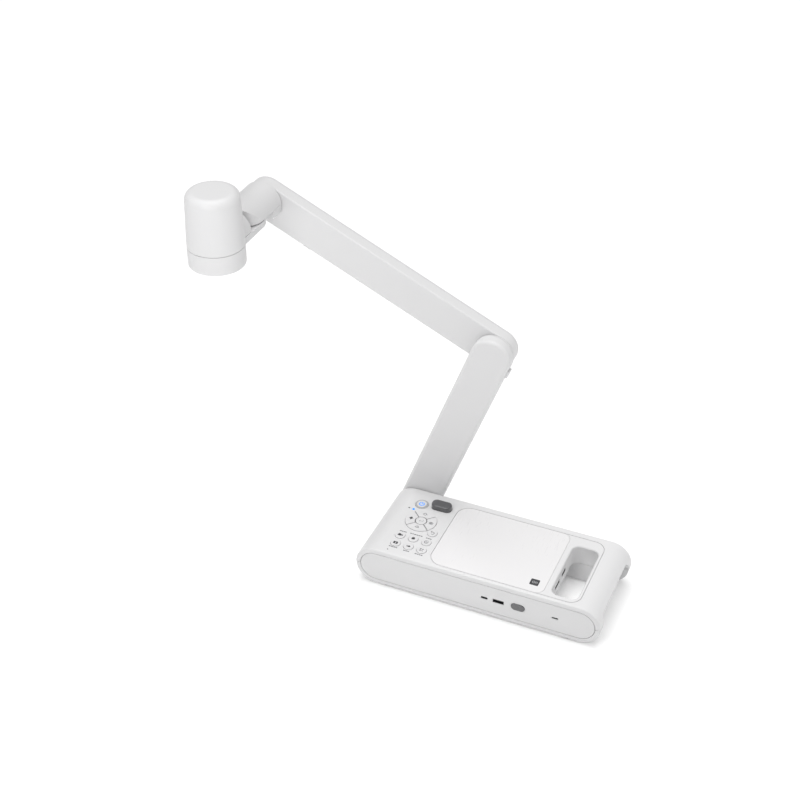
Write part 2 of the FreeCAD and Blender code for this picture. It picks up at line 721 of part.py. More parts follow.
def receiver_window():
    """Dark oval window in the front panel, with a hidden flange."""
    z = FOOT_HEIGHT + PORT_Z
    y1 = FRONT + PANEL_THICK
    lens = slot_y(WINDOW_X, z, WINDOW_WIDTH - 2 * SEAM, WINDOW_HEIGHT - 2 * SEAM, FRONT - 0.6, y1)
    lens = lens.makeFillet(0.5, rim_edges(lens, FRONT - 0.6))
    flange = slot_y(WINDOW_X, z, WINDOW_WIDTH + 3, WINDOW_HEIGHT + 3, y1, y1 + 1.5)
    return lens.fuse(flange)


def microphone():
    """Capsule behind the slot in the front panel."""
    z = FOOT_HEIGHT + PORT_Z
    y0 = FRONT + PANEL_THICK
    return slot_y(MIC_X, z, MIC_WIDTH - 0.6, MIC_HEIGHT - 0.6, y0 - 2.1, y0)


def ballast_plate():
    """Steel plate on the floor that steadies the base."""
    z0 = FOOT_HEIGHT + WALL
    x0 = PIVOT_X + 2 * BRACKET_RADIUS + 10
    side = BACK - 14.5
    plate = box(x0, bay_left() - 4, -side, side, z0, z0 + BALLAST_THICK)
    drills = [rod_z(x, y, 3.5, z0 - 1, z0 + BALLAST_THICK + 1) for x, y in screw_points()]
    return plate.cut(Part.makeCompound(drills))


# ---- base pivot, along Y at the base's left end ----


def bracket_front():
    """The front face of the base bracket's upright."""
    return BACK - PANEL_THICK - LEDGE - 3 - BRACKET_THICK


def pivot_bracket():
    """Steel bracket on the base's floor that carries the arm's pivot."""
    y0 = bracket_front()
    y1 = y0 + BRACKET_THICK
    z0 = FOOT_HEIGHT + WALL
    upright = rod_y(PIVOT_X, AXIS_Z, BRACKET_RADIUS, y0, y1)
    upright = upright.fuse(box(PIVOT_X - BRACKET_RADIUS, PIVOT_X + 2 * BRACKET_RADIUS, y0, y1, z0, AXIS_Z))
    foot = box(PIVOT_X - BRACKET_RADIUS, PIVOT_X + 2 * BRACKET_RADIUS, y0 - 25, y1, z0, z0 + 4)
    room = base_outline(WALL + PART_GAP, FRONT, BACK)
    room = room.fuse(box(PIVOT_X, PIVOT_X + 100, y0 - 30, y1, z0, AXIS_Z))
    bracket = upright.fuse(foot).common(room)
    return bracket.cut(rod_y(PIVOT_X, AXIS_Z, SHAFT_RADIUS + BORE_CLEAR, y0 - 1, y1 + 1))


def washer(x, z, y0):
    """A friction washer."""
    return ring_y(x, z, WASHER_RADIUS, SHAFT_RADIUS + BORE_CLEAR, y0, y0 + WASHER_THICK)


def pivot_washers():
    """Friction washers on both sides of the bracket."""
    y0 = bracket_front()
    inner = washer(PIVOT_X, AXIS_Z, y0 - WASHER_THICK)
    outer = washer(PIVOT_X, AXIS_Z, y0 + BRACKET_THICK)
    return Part.makeCompound([inner, outer])


def nut(x, z, y0, y1):
    """A six-sided nut along Y."""
    points = []
    for k in range(7):
        px, pz = polar(x, z, NUT_RADIUS, 60 * k)
        points.append(Vec(px, y0, pz))
    block = Part.Face(Part.makePolygon(points)).extrude(Vec(0, y1 - y0, 0))
    return block.cut(rod_y(x, z, SHAFT_RADIUS, y0, y1))


def pivot_nut():
    """Nut on the inner end of the base pivot."""
    y1 = bracket_front() - WASHER_THICK - PLAY
    return nut(PIVOT_X, AXIS_Z, y1 - 6, y1)


def frame_front(arm_y):
    """The front face of an arm's inner frame."""
    return arm_y + FRAME_FRONT


def pivot_shaft():
    """Steel shaft from the base's bracket into the lower arm's frame."""
    y0 = bracket_front() - WASHER_THICK - PLAY - 7
    shoulder_y = bracket_front() + BRACKET_THICK + WASHER_THICK + PLAY
    stop = frame_front(LOWER_Y)
    shaft = rod_y(PIVOT_X, AXIS_Z, SHAFT_RADIUS, y0, stop + FRAME_THICK)
    return shaft.fuse(rod_y(PIVOT_X, AXIS_Z, SHOULDER_RADIUS, shoulder_y, stop))


# ---- arms: built along +X from their first pivot, then turned into place ----


def arm_place(shape, x, z, angle):
    """Turn a piece from the +X direction to its angle and move it to its pivot."""
    placed = shape.copy()
    placed.rotate(Vec(0, 0, 0), Vec(0, 1, 0), -angle)
    placed.translate(Vec(x, 0, z))
    return placed


def arm_outline(length, half, y0, y1):
    """A flat link with round ends."""
    return pill_y(-half, length + half, -half, half, y0, y1)


def arm_cover(length, half, y0, thick, fillet, holes):
    """The deep front moulding of an arm, open at the back; holes are (x, y from, y to) bores."""
    y1 = y0 + thick - ARM_WALL - SEAM
    outer = arm_outline(length, half, y0, y1)
    outer = outer.makeFillet(fillet, rim_edges(outer, y0))
    cover = outer.cut(arm_outline(length, half - ARM_WALL, y0 + ARM_WALL, y1 + 1))
    posts = []
    for share in (0.25, 0.5, 0.75):
        posts.append(rod_y(length * share, 0, 4, y0 + ARM_WALL - 0.5, frame_front(y0)))
    cover = cover.fuse(posts)
    for x in holes:
        cover = cover.cut(rod_y(x, 0, SHOULDER_RADIUS + SHOULDER_CLEAR, y0 - 1, y0 + ARM_WALL + 1))
    return cover


def arm_lid(length, half, y0, thick, holes):
    """The flat back moulding of an arm."""
    y1 = y0 + thick
    lid = arm_outline(length, half, y1 - ARM_WALL, y1)
    lid = lid.makeFillet(LID_FILLET, rim_edges(lid, y1))
    for x in holes:
        lid = lid.cut(rod_y(x, 0, SHOULDER_RADIUS + SHOULDER_CLEAR, y1 - ARM_WALL - 1, y1 + 1))
    return lid


def arm_frame(length, y0, bores):
    """The aluminium bar inside an arm, with its shaft bores and two long slots."""
    start = frame_front(y0)
    frame = arm_outline(length, FRAME_HALF, start, start + FRAME_THICK)
    for x, radius in bores:
        frame = frame.cut(rod_y(x, 0, radius, start - 1, start + FRAME_THICK + 1))
    for low, high in ((0.12, 0.22), (0.30, 0.45), (0.55, 0.70), (0.78, 0.88)):
        slot = pill_y(length * low, length * high, -7, 7, start - 1, start + FRAME_THICK + 1)
        frame = frame.cut(slot)
    return frame


def lower_arm_front():
    """Front moulding of the lower arm, with the elbow stop on its edge."""
    cover = arm_cover(LOWER_LENGTH, LOWER_HALF, LOWER_Y, LOWER_THICK, LOWER_FILLET, [0])
    return arm_place(cover, PIVOT_X, AXIS_Z, LOWER_ANGLE)


def elbow_stop():
    """The small raised block on the lower arm's edge, just below the elbow."""
    x1 = LOWER_LENGTH - STOP_FROM_ELBOW / 2
    y1 = LOWER_Y + LOWER_THICK - ARM_WALL - 2 * SEAM
    block = box(x1 - STOP_FROM_ELBOW, x1, y1 - 8, y1, -LOWER_HALF - 2.6, -LOWER_HALF)
    outer = [e for e in level_edges(block, -LOWER_HALF - 2.6)]
    return arm_place(block.makeFillet(0.8, outer), PIVOT_X, AXIS_Z, LOWER_ANGLE)


def lower_arm_lid():
    """Back moulding of the lower arm."""
    lid = arm_lid(LOWER_LENGTH, LOWER_HALF, LOWER_Y, LOWER_THICK, [LOWER_LENGTH])
    return arm_place(lid, PIVOT_X, AXIS_Z, LOWER_ANGLE)


def lower_arm_frame():
    """Bar inside the lower arm; its upper bore turns on the elbow shaft."""
    bores = [(0, SHAFT_RADIUS), (LOWER_LENGTH, SHAFT_RADIUS + BORE_CLEAR)]
    frame = arm_frame(LOWER_LENGTH, LOWER_Y, bores)
    return arm_place(frame, PIVOT_X, AXIS_Z, LOWER_ANGLE)


def elbow_washers():
    """Friction washers on both sides of the lower arm's frame."""
    start = frame_front(LOWER_Y)
    front = washer(ELBOW_X, ELBOW_Z, start - WASHER_THICK)
    back = washer(ELBOW_X, ELBOW_Z, start + FRAME_THICK)
    return Part.makeCompound([front, back])


def elbow_nut():
    """Nut on the front end of the elbow shaft."""
    y1 = frame_front(LOWER_Y) - WASHER_THICK - PLAY
    return nut(ELBOW_X, ELBOW_Z, y1 - NUT_THICK, y1)


def elbow_shaft():
    """Shaft fixed in the upper arm's frame, turning in the lower arm's."""
    y0 = frame_front(LOWER_Y) - WASHER_THICK - PLAY - NUT_THICK
    shoulder_y = frame_front(LOWER_Y) + FRAME_THICK + WASHER_THICK + PLAY
    stop = frame_front(UPPER_Y)
    shaft = rod_y(ELBOW_X, ELBOW_Z, SHAFT_RADIUS, y0, stop + FRAME_THICK)
    return shaft.fuse(rod_y(ELBOW_X, ELBOW_Z, SHOULDER_RADIUS, shoulder_y, stop))


def upper_arm_front():
    """Front moulding of the upper arm, with holes for the elbow and wrist shafts."""
    holes = [0, UPPER_LENGTH]
    cover = arm_cover(UPPER_LENGTH, UPPER_HALF, UPPER_Y, UPPER_THICK, UPPER_FILLET, holes)
    return arm_place(cover, ELBOW_X, ELBOW_Z, UPPER_ANGLE)


def upper_arm_lid():
    """Back moulding of the upper arm."""
    lid = arm_lid(UPPER_LENGTH, UPPER_HALF, UPPER_Y, UPPER_THICK, [])
    return arm_place(lid, ELBOW_X, ELBOW_Z, UPPER_ANGLE)


def upper_arm_frame():
    """Bar inside the upper arm; its outer bore turns on the wrist shaft."""
    bores = [(0, SHAFT_RADIUS), (UPPER_LENGTH, SHAFT_RADIUS + BORE_CLEAR)]
    frame = arm_frame(UPPER_LENGTH, UPPER_Y, bores)
    return arm_place(frame, ELBOW_X, ELBOW_Z, UPPER_ANGLE)


def arm_bumper():
    """Soft bump on the upper arm's lower edge."""
    x = UPPER_LENGTH - BUMPER_FROM_WRIST
    block = box(x - BUMPER_LENGTH / 2, x + BUMPER_LENGTH / 2, UPPER_Y + 2.5, UPPER_Y + 9,
                UPPER_HALF, UPPER_HALF + 1.6)
    block = block.makeFillet(0.8, level_edges(block, UPPER_HALF + 1.6))
    return arm_place(block, ELBOW_X, ELBOW_Z, UPPER_ANGLE)


# ---- wrist ----


def wrist_washers():
    """Friction washers on both sides of the upper arm's frame."""
    start = frame_front(UPPER_Y)
    front = washer(WRIST_X, WRIST_Z, start - WASHER_THICK)
    back = washer(WRIST_X, WRIST_Z, start + FRAME_THICK)
    return Part.makeCompound([front, back])


def wrist_nut():
    """Nut on the back end of the wrist shaft."""
    y0 = frame_front(UPPER_Y) + FRAME_THICK + WASHER_THICK + PLAY
    return nut(WRIST_X, WRIST_Z, y0, y0 + NUT_THICK)


def wrist_shaft():
    """Shaft fixed in the wrist block, turning in the upper arm's frame."""
    y1 = frame_front(UPPER_Y) + FRAME_THICK + WASHER_THICK + PLAY + NUT_THICK
    shoulder_y = frame_front(UPPER_Y) - WASHER_THICK - PLAY
    shaft = rod_y(WRIST_X, WRIST_Z, SHAFT_RADIUS, WRIST_BACK - 14, y1)
    return shaft.fuse(rod_y(WRIST_X, WRIST_Z, SHOULDER_RADIUS, WRIST_BACK - WRIST_SHOULDER, shoulder_y))


def wrist_plan(inset, z0, z1):
    """The wrist seen from above: straight, with a half-round front end round the swivel."""
    half = SWIVEL_RADIUS - inset
    nose = rod_z(WRIST_X, SWIVEL_Y, half, z0, z1)
    return nose.fuse(box(WRIST_X - half - 1, WRIST_X + half + 1, SWIVEL_Y, WRIST_BACK - inset, z0, z1))


def wrist_hole():
    """The room for the wrist shaft's shoulder in the covers' back walls."""
    y0 = WRIST_BACK - WRIST_SHOULDER - PART_GAP
    return rod_y(WRIST_X, WRIST_Z, SHOULDER_RADIUS + SHOULDER_CLEAR, y0, WRIST_BACK + 1)


def wrist_top_cover():
    """Upper half of the wrist barrel, with its round nose over the neck."""
    z0 = WRIST_Z + COVER_LEVEL
    z1 = WRIST_Z + WRIST_RADIUS + 1
    nose = SWIVEL_Y - SWIVEL_RADIUS
    barrel = rod_y(WRIST_X, WRIST_Z, WRIST_RADIUS, nose - 1, WRIST_BACK)
    cover = barrel.common(wrist_plan(0, z0, z1))
    bore = rod_y(WRIST_X, WRIST_Z, WRIST_RADIUS - COVER_WALL, nose - 1, WRIST_BACK - COVER_WALL)
    cover = cover.cut(bore.common(wrist_plan(COVER_WALL, z0 - 1, z1)))
    return cover.cut(wrist_hole())


def wrist_bottom_cover():
    """Lower shell of the wrist behind the neck's round end, flat underneath."""
    y0 = SWIVEL_Y + SWIVEL_RADIUS + SWIVEL_GAP
    z0 = WRIST_Z + WRIST_FLOOR
    z1 = WRIST_Z + COVER_LEVEL - SEAM
    half = WRIST_RADIUS
    barrel = rod_y(WRIST_X, WRIST_Z, WRIST_RADIUS, y0, WRIST_BACK)
    cover = barrel.common(box(WRIST_X - half, WRIST_X + half, y0, WRIST_BACK, z0, z1))
    side = half - 2 * COVER_WALL
    room = box(WRIST_X - side, WRIST_X + side, y0 + COVER_WALL, WRIST_BACK - COVER_WALL,
               z0 + COVER_WALL, z1 + 1)
    return cover.cut(room).cut(wrist_hole())


def wrist_block():
    """Metal core that joins the wrist shaft to the swivel post."""
    z0 = WRIST_Z + COVER_LEVEL + 1.2
    block = box(WRIST_X - 13, WRIST_X + 13, SWIVEL_Y - 13, WRIST_BACK - WRIST_SHOULDER, z0, z0 + 11)
    hub = box(WRIST_X - 9, WRIST_X + 9, WRIST_BACK - 14, WRIST_BACK - WRIST_SHOULDER,
              WRIST_Z - 7.5, z0)
    block = block.fuse(hub)
    block = block.cut(rod_y(WRIST_X, WRIST_Z, SHAFT_RADIUS, WRIST_BACK - 14, WRIST_BACK))
    return block.cut(rod_z(WRIST_X, SWIVEL_Y, POST_RADIUS, z0 - 1, z0 + 8))


def swivel_post():
    """Post from the wrist block down through the neck, its wide foot flush underneath."""
    z0 = WRIST_Z + NECK_BOTTOM
    z1 = WRIST_Z + COVER_LEVEL + 1.2 + 8
    post = rod_z(WRIST_X, SWIVEL_Y, POST_RADIUS, z0, z1)
    foot = rod_z(WRIST_X, SWIVEL_Y, POST_CAP_RADIUS - 0.3, z0, z0 + POST_CAP_THICK)
    return post.fuse(foot).cut(rod_z(WRIST_X, SWIVEL_Y, 3, z0 - 1, z0 + 1))


# ---- head ----


def neck_plate():
    """The flat neck, straight sided, round about the swivel."""
    z0, z1 = WRIST_Z + NECK_BOTTOM, WRIST_Z + NECK_TOP
    half = SWIVEL_RADIUS
    plate = box(WRIST_X - half, WRIST_X + half, HEAD_Y, SWIVEL_Y, z0, z1)
    plate = plate.fuse(rod_z(WRIST_X, SWIVEL_Y, half, z0, z1)).removeSplitter()
    post = rod_z(WRIST_X, SWIVEL_Y, POST_RADIUS + BORE_CLEAR, z0 - 1, z1 + 1)
    recess = rod_z(WRIST_X, SWIVEL_Y, POST_CAP_RADIUS, z0 - 1, z0 + POST_CAP_THICK + PLAY)
    return plate.cut(post).cut(recess)


def head_bottom_housing():
    """Lower ring of the head and the neck, one moulding."""
    z0, z1 = WRIST_Z + HEAD_BOTTOM, WRIST_Z - HEAD_SEAM / 2
    ring = rod_z(WRIST_X, HEAD_Y, HEAD_RADIUS, z0, z1)
    ring = ring.makeFillet(1.2, level_edges(ring, z0))
    body = ring.fuse(neck_plate())
    inner = HEAD_RADIUS - HEAD_WALL
    body = body.cut(rod_z(WRIST_X, HEAD_Y, inner, z0 + HEAD_WALL, WRIST_Z + 5)).fuse(head_lip(z1))
    body = body.cut(rod_z(WRIST_X, HEAD_Y, LENS_RADIUS + PART_GAP, z0 - 1, z0 + 5))
    return body.cut(Part.makeCompound(lamp_rods(LAMP_RADIUS + SEAM, z0 - 1, z0 + 5)))


def head_lip(z1):
    """The inner lip that locates the upper head and backs the line round it."""
    inner = HEAD_RADIUS - HEAD_WALL
    foot = rod_z(WRIST_X, HEAD_Y, inner, z1 - LIP_HEIGHT, z1)
    lip = foot.fuse(rod_z(WRIST_X, HEAD_Y, inner - 0.2, z1, z1 + LIP_HEIGHT))
    return lip.cut(rod_z(WRIST_X, HEAD_Y, inner - LIP_THICK, z1 - LIP_HEIGHT - 1, z1 + LIP_HEIGHT + 1))


def lamp_rods(radius, z0, z1):
    """The two lamps' round places beside the lens."""
    return [rod_z(WRIST_X + side * LAMP_OFFSET, HEAD_Y, radius, z0, z1) for side in (-1, 1)]


def head_profile(inset, z0, z1, fillet):
    """The tapered upper head, smaller by inset all round."""
    slope = (HEAD_RADIUS - HEAD_TOP_RADIUS) / HEAD_TOP
    low = HEAD_RADIUS - inset - slope * (z0 - WRIST_Z)
    high = HEAD_RADIUS - inset - slope * (z1 - WRIST_Z)
    cone = Part.makeCone(low, high, z1 - z0, Vec(WRIST_X, HEAD_Y, z0))
    return cone.makeFillet(fillet, level_edges(cone, z1))


def head_stub():
    """The half-round stub on the back of the head that carries on the wrist barrel's line."""
    y1 = SWIVEL_Y - SWIVEL_RADIUS - SWIVEL_GAP
    z0 = WRIST_Z + NECK_TOP + SEAM
    half = STUB_RADIUS
    stub = rod_y(WRIST_X, WRIST_Z, STUB_RADIUS, HEAD_Y, y1)
    stub = stub.makeFillet(0.8, rim_edges(stub, y1))
    return stub.common(box(WRIST_X - half, WRIST_X + half, HEAD_Y, y1, z0, z0 + half))


def head_top_housing():
    """Upper body of the head with its stub."""
    z0, z1 = WRIST_Z + HEAD_SEAM / 2, WRIST_Z + HEAD_TOP
    outer = head_profile(0, z0, z1, HEAD_FILLET).fuse(head_stub())
    inner = head_profile(HEAD_WALL, z0 - 1, z1 - HEAD_WALL, HEAD_FILLET - HEAD_WALL)
    neck = box(WRIST_X - SWIVEL_RADIUS - SEAM, WRIST_X + SWIVEL_RADIUS + SEAM, HEAD_Y, SWIVEL_Y,
               z0 - 1, WRIST_Z + NECK_TOP + SEAM)
    return outer.cut(inner).cut(neck)


def lens_bottom():
    """The lens barrel's lower end, just inside the head's underside."""
    return WRIST_Z + HEAD_BOTTOM + 0.8


def lens_barrel():
    """The camera's lens barrel, stepped inside its mouth."""
    z0 = lens_bottom()
    barrel = rod_z(WRIST_X, HEAD_Y, LENS_RADIUS, z0, z0 + LENS_LENGTH)
    mouth = rod_z(WRIST_X, HEAD_Y, GLASS_RADIUS + 1.2, z0 - 1, z0 + 1.5)
    barrel = barrel.cut(mouth).cut(rod_z(WRIST_X, HEAD_Y, GLASS_RADIUS, z0, z0 + 4.5))
    return barrel.cut(rod_z(WRIST_X, HEAD_Y, 5, z0, z0 + LENS_LENGTH - 4))


def lens_glass():
    """The front glass in the barrel's mouth."""
    z0 = lens_bottom() + 1.8
    return rod_z(WRIST_X, HEAD_Y, GLASS_RADIUS, z0, z0 + 2.7)


def head_lamps():
    """Two lamp lenses in the head's underside."""
    z0 = WRIST_Z + HEAD_BOTTOM
    lamps = lamp_rods(LAMP_RADIUS, z0 + 0.3, z0 + HEAD_WALL)
    flanges = lamp_rods(LAMP_RADIUS + 1.5, z0 + HEAD_WALL, z0 + HEAD_WALL + 1)
    return Part.makeCompound([a.fuse(b) for a, b in zip(lamps, flanges)])


def lamp_board():
    """Round circuit board that carries the lamps."""
    z0 = WRIST_Z + HEAD_BOTTOM + HEAD_WALL + 1
    board = rod_z(WRIST_X, HEAD_Y, HEAD_RADIUS - HEAD_WALL - 1, z0, z0 + BOARD_THICK)
    return board.cut(rod_z(WRIST_X, HEAD_Y, LENS_RADIUS + PART_GAP, z0 - 1, z0 + 5))


def image_board():
    """Round circuit board on the lens barrel with the image sensor."""
    z0 = lens_bottom() + LENS_LENGTH
    board = rod_z(WRIST_X, HEAD_Y, HEAD_TOP_RADIUS - HEAD_WALL - 3, z0 + 2, z0 + 2 + BOARD_THICK)
    return board.fuse(box(WRIST_X - 7, WRIST_X + 7, HEAD_Y - 7, HEAD_Y + 7, z0, z0 + 2))


def build():
    """Every node of the document camera."""
    os.makedirs("parts", exist_ok=True)
    single = [
        base_top_shell, base_bottom_shell, base_screws, rubber_feet, grip_cover,
        front_side_panel, rear_side_panel, inlay_panel, handle_surround, keypad_lights,
        centre_key, bar_key, keypad_board, socket_boards, front_sockets, side_sockets,
        receiver_window, microphone, ballast_plate, pivot_bracket, pivot_washers,
        pivot_nut, pivot_shaft, lower_arm_front, elbow_stop, lower_arm_lid,
        lower_arm_frame, elbow_washers, elbow_nut, elbow_shaft, upper_arm_front,
        upper_arm_lid, upper_arm_frame, arm_bumper, wrist_washers, wrist_nut,
        wrist_shaft, wrist_top_cover, wrist_bottom_cover, wrist_block, swivel_post,
        head_bottom_housing, head_top_housing, lens_barrel, lens_glass, head_lamps,
        lamp_board, image_board,
    ]
    for make in single:
        save(make.__name__, make())
    save("power_key", round_key(POWER_X, POWER_Y, POWER_RADIUS, KEY_RISE))
    for name, (x, y) in SMALL_KEYS.items():
        save(name, round_key(x, y, KEY_RADIUS, KEY_RISE))
    for name, turn in (("right_key", 0), ("up_key", 90), ("left_key", 180), ("down_key", 270)):
        save(name, direction_key(turn))


build()
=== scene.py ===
import json
import math

import bpy
import numpy as np
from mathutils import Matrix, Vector


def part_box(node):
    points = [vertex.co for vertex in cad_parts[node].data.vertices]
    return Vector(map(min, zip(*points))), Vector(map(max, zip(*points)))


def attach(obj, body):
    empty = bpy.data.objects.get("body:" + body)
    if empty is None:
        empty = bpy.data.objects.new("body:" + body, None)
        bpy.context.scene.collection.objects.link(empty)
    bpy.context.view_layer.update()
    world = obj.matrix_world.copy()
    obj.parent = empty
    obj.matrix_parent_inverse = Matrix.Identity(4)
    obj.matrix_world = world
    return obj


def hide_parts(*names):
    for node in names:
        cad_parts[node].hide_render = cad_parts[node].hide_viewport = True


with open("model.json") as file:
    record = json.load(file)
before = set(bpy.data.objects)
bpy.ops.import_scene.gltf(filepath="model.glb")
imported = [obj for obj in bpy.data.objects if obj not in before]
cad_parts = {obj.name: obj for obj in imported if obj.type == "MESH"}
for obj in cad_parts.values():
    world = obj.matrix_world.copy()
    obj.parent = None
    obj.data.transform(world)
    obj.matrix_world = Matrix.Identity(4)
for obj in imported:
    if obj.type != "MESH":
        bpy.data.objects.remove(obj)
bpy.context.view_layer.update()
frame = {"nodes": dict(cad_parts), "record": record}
cadNodes = frame["nodes"]
mm = 0.001
print("frame loaded,", len(cadNodes), "nodes")

# a table-top document camera: base with keypad and handle, two folding arms, wrist and camera head

cameraView = {
    "place": (0.41817, -1.24461, 1.18618),
    "target": (-0.19034, 0.16246, 0.1015),
    "lens": 66.34,
}


def makeCamera(view):
    data = bpy.data.cameras.new("tableView")
    data.lens = view["lens"]
    data.sensor_width = 36.0
    camera = bpy.data.objects.new("tableView", data)
    place = Vector(view["place"])
    camera.location = place
    camera.rotation_euler = (Vector(view["target"]) - place).to_track_quat("-Z", "Y").to_euler()
    bpy.context.scene.collection.objects.link(camera)
    bpy.context.scene.camera = camera


makeCamera(cameraView)
bpy.context.scene.view_settings.view_transform = "Standard"  # keeps white plastic white
print("camera placed")


class Wire:
    # a socket that can be added, multiplied and so on; each operator adds one Math node
    def __init__(self, finish, socket):
        self.finish = finish
        self.socket = socket

    def maths(self, operation, *values):
        return self.finish.node("ShaderNodeMath", {"operation": operation}, dict(enumerate(values)))

    def __add__(self, other):
        return self.maths("ADD", self, other)

    def __sub__(self, other):
        return self.maths("SUBTRACT", self, other)

    def __rsub__(self, other):
        return self.maths("SUBTRACT", other, self)

    def __mul__(self, other):
        return self.maths("MULTIPLY", self, other)

    def __truediv__(self, other):
        return self.maths("DIVIDE", self, other)

    def __pow__(self, other):
        return self.maths("POWER", self, other)

    def below(self, limit):
        return self.maths("LESS_THAN", self, limit)

    def over(self, limit):
        return self.maths("GREATER_THAN", self, limit)

    def clamped(self):
        return self.maths("MINIMUM", self.maths("MAXIMUM", self, 0.0), 1.0)

    __radd__ = __add__
    __rmul__ = __mul__


class Finish:
    # builds one material from nodes
    def __init__(self, name):
        self.material = bpy.data.materials.new(name)
        self.material.use_nodes = True
        self.tree = self.material.node_tree
        self.tree.nodes.clear()
        self.place = self.node("ShaderNodeTexCoord", output="Object")

    def node(self, kind, settings=None, sockets=None, output=0):
        made = self.tree.nodes.new(kind)
        for key, value in (settings or {}).items():
            setattr(made, key, value)
        for key, value in (sockets or {}).items():
            if isinstance(value, Wire):
                self.tree.links.new(value.socket, made.inputs[key])
            else:
                made.inputs[key].default_value = value
        return Wire(self, made.outputs[output])

    def noise(self, scale, detail=2.0, roughness=0.5, stretch=None):
        where = self.place
        if stretch:
            where = self.node("ShaderNodeMapping", None, {"Vector": where, "Scale": stretch})
        return self.node("ShaderNodeTexNoise", None,
                         {"Vector": where, "Scale": scale, "Detail": detail, "Roughness": roughness})

    def cells(self, scale):
        return self.node("ShaderNodeTexVoronoi", {"feature": "F1"},
                         {"Vector": self.place, "Scale": scale}, "Distance")

    def axis(self, letter):
        return self.node("ShaderNodeSeparateXYZ", None, {0: self.place}, letter)

    def distance(self, x, y):
        # flat distance from an upright line at x, y
        across = self.axis("X") - x
        along = self.axis("Y") - y
        return (across * across + along * along) ** 0.5

    def blend(self, share, first, second):
        # a colour between two, by share
        ends = {key: value if isinstance(value, Wire) else (*value, 1.0)
                for key, value in ((6, first), (7, second))}
        return self.node("ShaderNodeMix", {"data_type": "RGBA"}, {0: share, **ends}, 2)

    def relief(self, height, depth):
        return self.node("ShaderNodeBump", None, {"Height": height, "Distance": depth, "Strength": 1.0})

    def surface(self, **sockets):
        named = {key.replace("_", " "): value for key, value in sockets.items()}
        for key in ("Base Color", "Emission Color", "Specular Tint", "Sheen Tint"):
            if key in named and not isinstance(named[key], Wire):
                named[key] = (*named[key], 1.0)
        shader = self.node("ShaderNodeBsdfPrincipled", None, named)
        self.endWith(shader)
        return self.material

    def endWith(self, shader):
        end = self.tree.nodes.new("ShaderNodeOutputMaterial")
        self.tree.links.new(shader.socket, end.inputs["Surface"])


shellLook = {
    "light": (0.705, 0.703, 0.706),
    "shade": (0.672, 0.670, 0.675),
    "grain": 1500.0,  # cells per metre of the moulded texture
    "grainDepth": 0.00003,
    "roughness": 0.46,
}


def mouldedPlastic(name, look):
    # matte white plastic: fine spark-eroded grain, slow cloudiness, slight handling shine
    f = Finish(name)
    cloud = f.noise(7.0, 3.0)
    grain = f.noise(look["grain"], 3.0, 0.6)
    pits = f.cells(look["grain"] * 0.6)
    colour = f.blend(cloud * 0.6 + grain * 0.25, look["light"], look["shade"])
    rough = look["roughness"] - 0.05 + 0.08 * grain + 0.04 * f.noise(18.0, 2.0)
    height = grain * 0.7 + pits * 0.3
    return f.surface(Base_Color=colour, Roughness=rough, IOR=1.49,
                     Normal=f.relief(height, look["grainDepth"]))


plateLook = {
    "light": (0.770, 0.762, 0.766),
    "shade": (0.750, 0.742, 0.747),
    "roughness": 0.24,
    "wave": 0.00004,
}


def smoothPlate(name, look):
    # the wide top plate: smoother, with faint sink marks and fine rubbing scratches
    f = Finish(name)
    cloud = f.noise(5.0, 2.0)
    rub = f.noise(900.0, 2.0, 0.6, (1.0, 0.06, 1.0))
    colour = f.blend(cloud, look["light"], look["shade"])
    rough = look["roughness"] + 0.05 * rub + 0.04 * cloud
    return f.surface(Base_Color=colour, Roughness=rough, Coat_Roughness=0.12, IOR=1.5,
                     Coat_Weight=0.25, Normal=f.relief(f.noise(22.0, 1.0), look["wave"]))


keyLook = {
    "light": (0.700, 0.696, 0.702),
    "shade": (0.668, 0.665, 0.672),
    "roughness": 0.38,
    "glow": (0.01, 0.09, 0.24),
    "glowTint": (0.50, 0.64, 0.84),
    "glowReach": 0.0052,
}


def keyPlastic(name, look, glowAt=None):
    # key caps: fine grain; the power key is lit from below near its middle
    f = Finish(name)
    grain = f.noise(2200.0, 2.0)
    colour = f.blend(f.noise(60.0, 2.0), look["light"], look["shade"])
    rough = look["roughness"] + 0.08 * grain
    more = {}
    if glowAt:
        halo = (1.0 - f.distance(*glowAt) / look["glowReach"]).clamped() ** 1.6
        dark = (0.0, 0.0, 0.0)
        more = {"Emission_Color": f.blend(halo, dark, look["glow"]), "Emission_Strength": 0.3}
        colour = f.blend(halo * 0.5, colour, look["glowTint"])
    return f.surface(Base_Color=colour, Roughness=rough, Normal=f.relief(grain, 0.00002), **more)


darkLook = {
    "light": (0.088, 0.088, 0.093),
    "shade": (0.066, 0.066, 0.070),
    "roughness": 0.30,
}


def darkPlastic(name, look):
    # smoked key and window: smooth, dark grey, with a light satin grain
    f = Finish(name)
    grain = f.noise(1300.0, 3.0)
    colour = f.blend(f.noise(70.0, 3.0), look["light"], look["shade"])
    rough = look["roughness"] + 0.12 * grain
    return f.surface(Base_Color=colour, Roughness=rough, Coat_Weight=0.8, Coat_Roughness=0.09,
                     Normal=f.relief(grain, 0.000015))


lightLook = {
    "clear": (0.50, 0.50, 0.51),
    "blue": (0.01, 0.25, 0.80),
    "glow": (0.005, 0.15, 0.55),
}


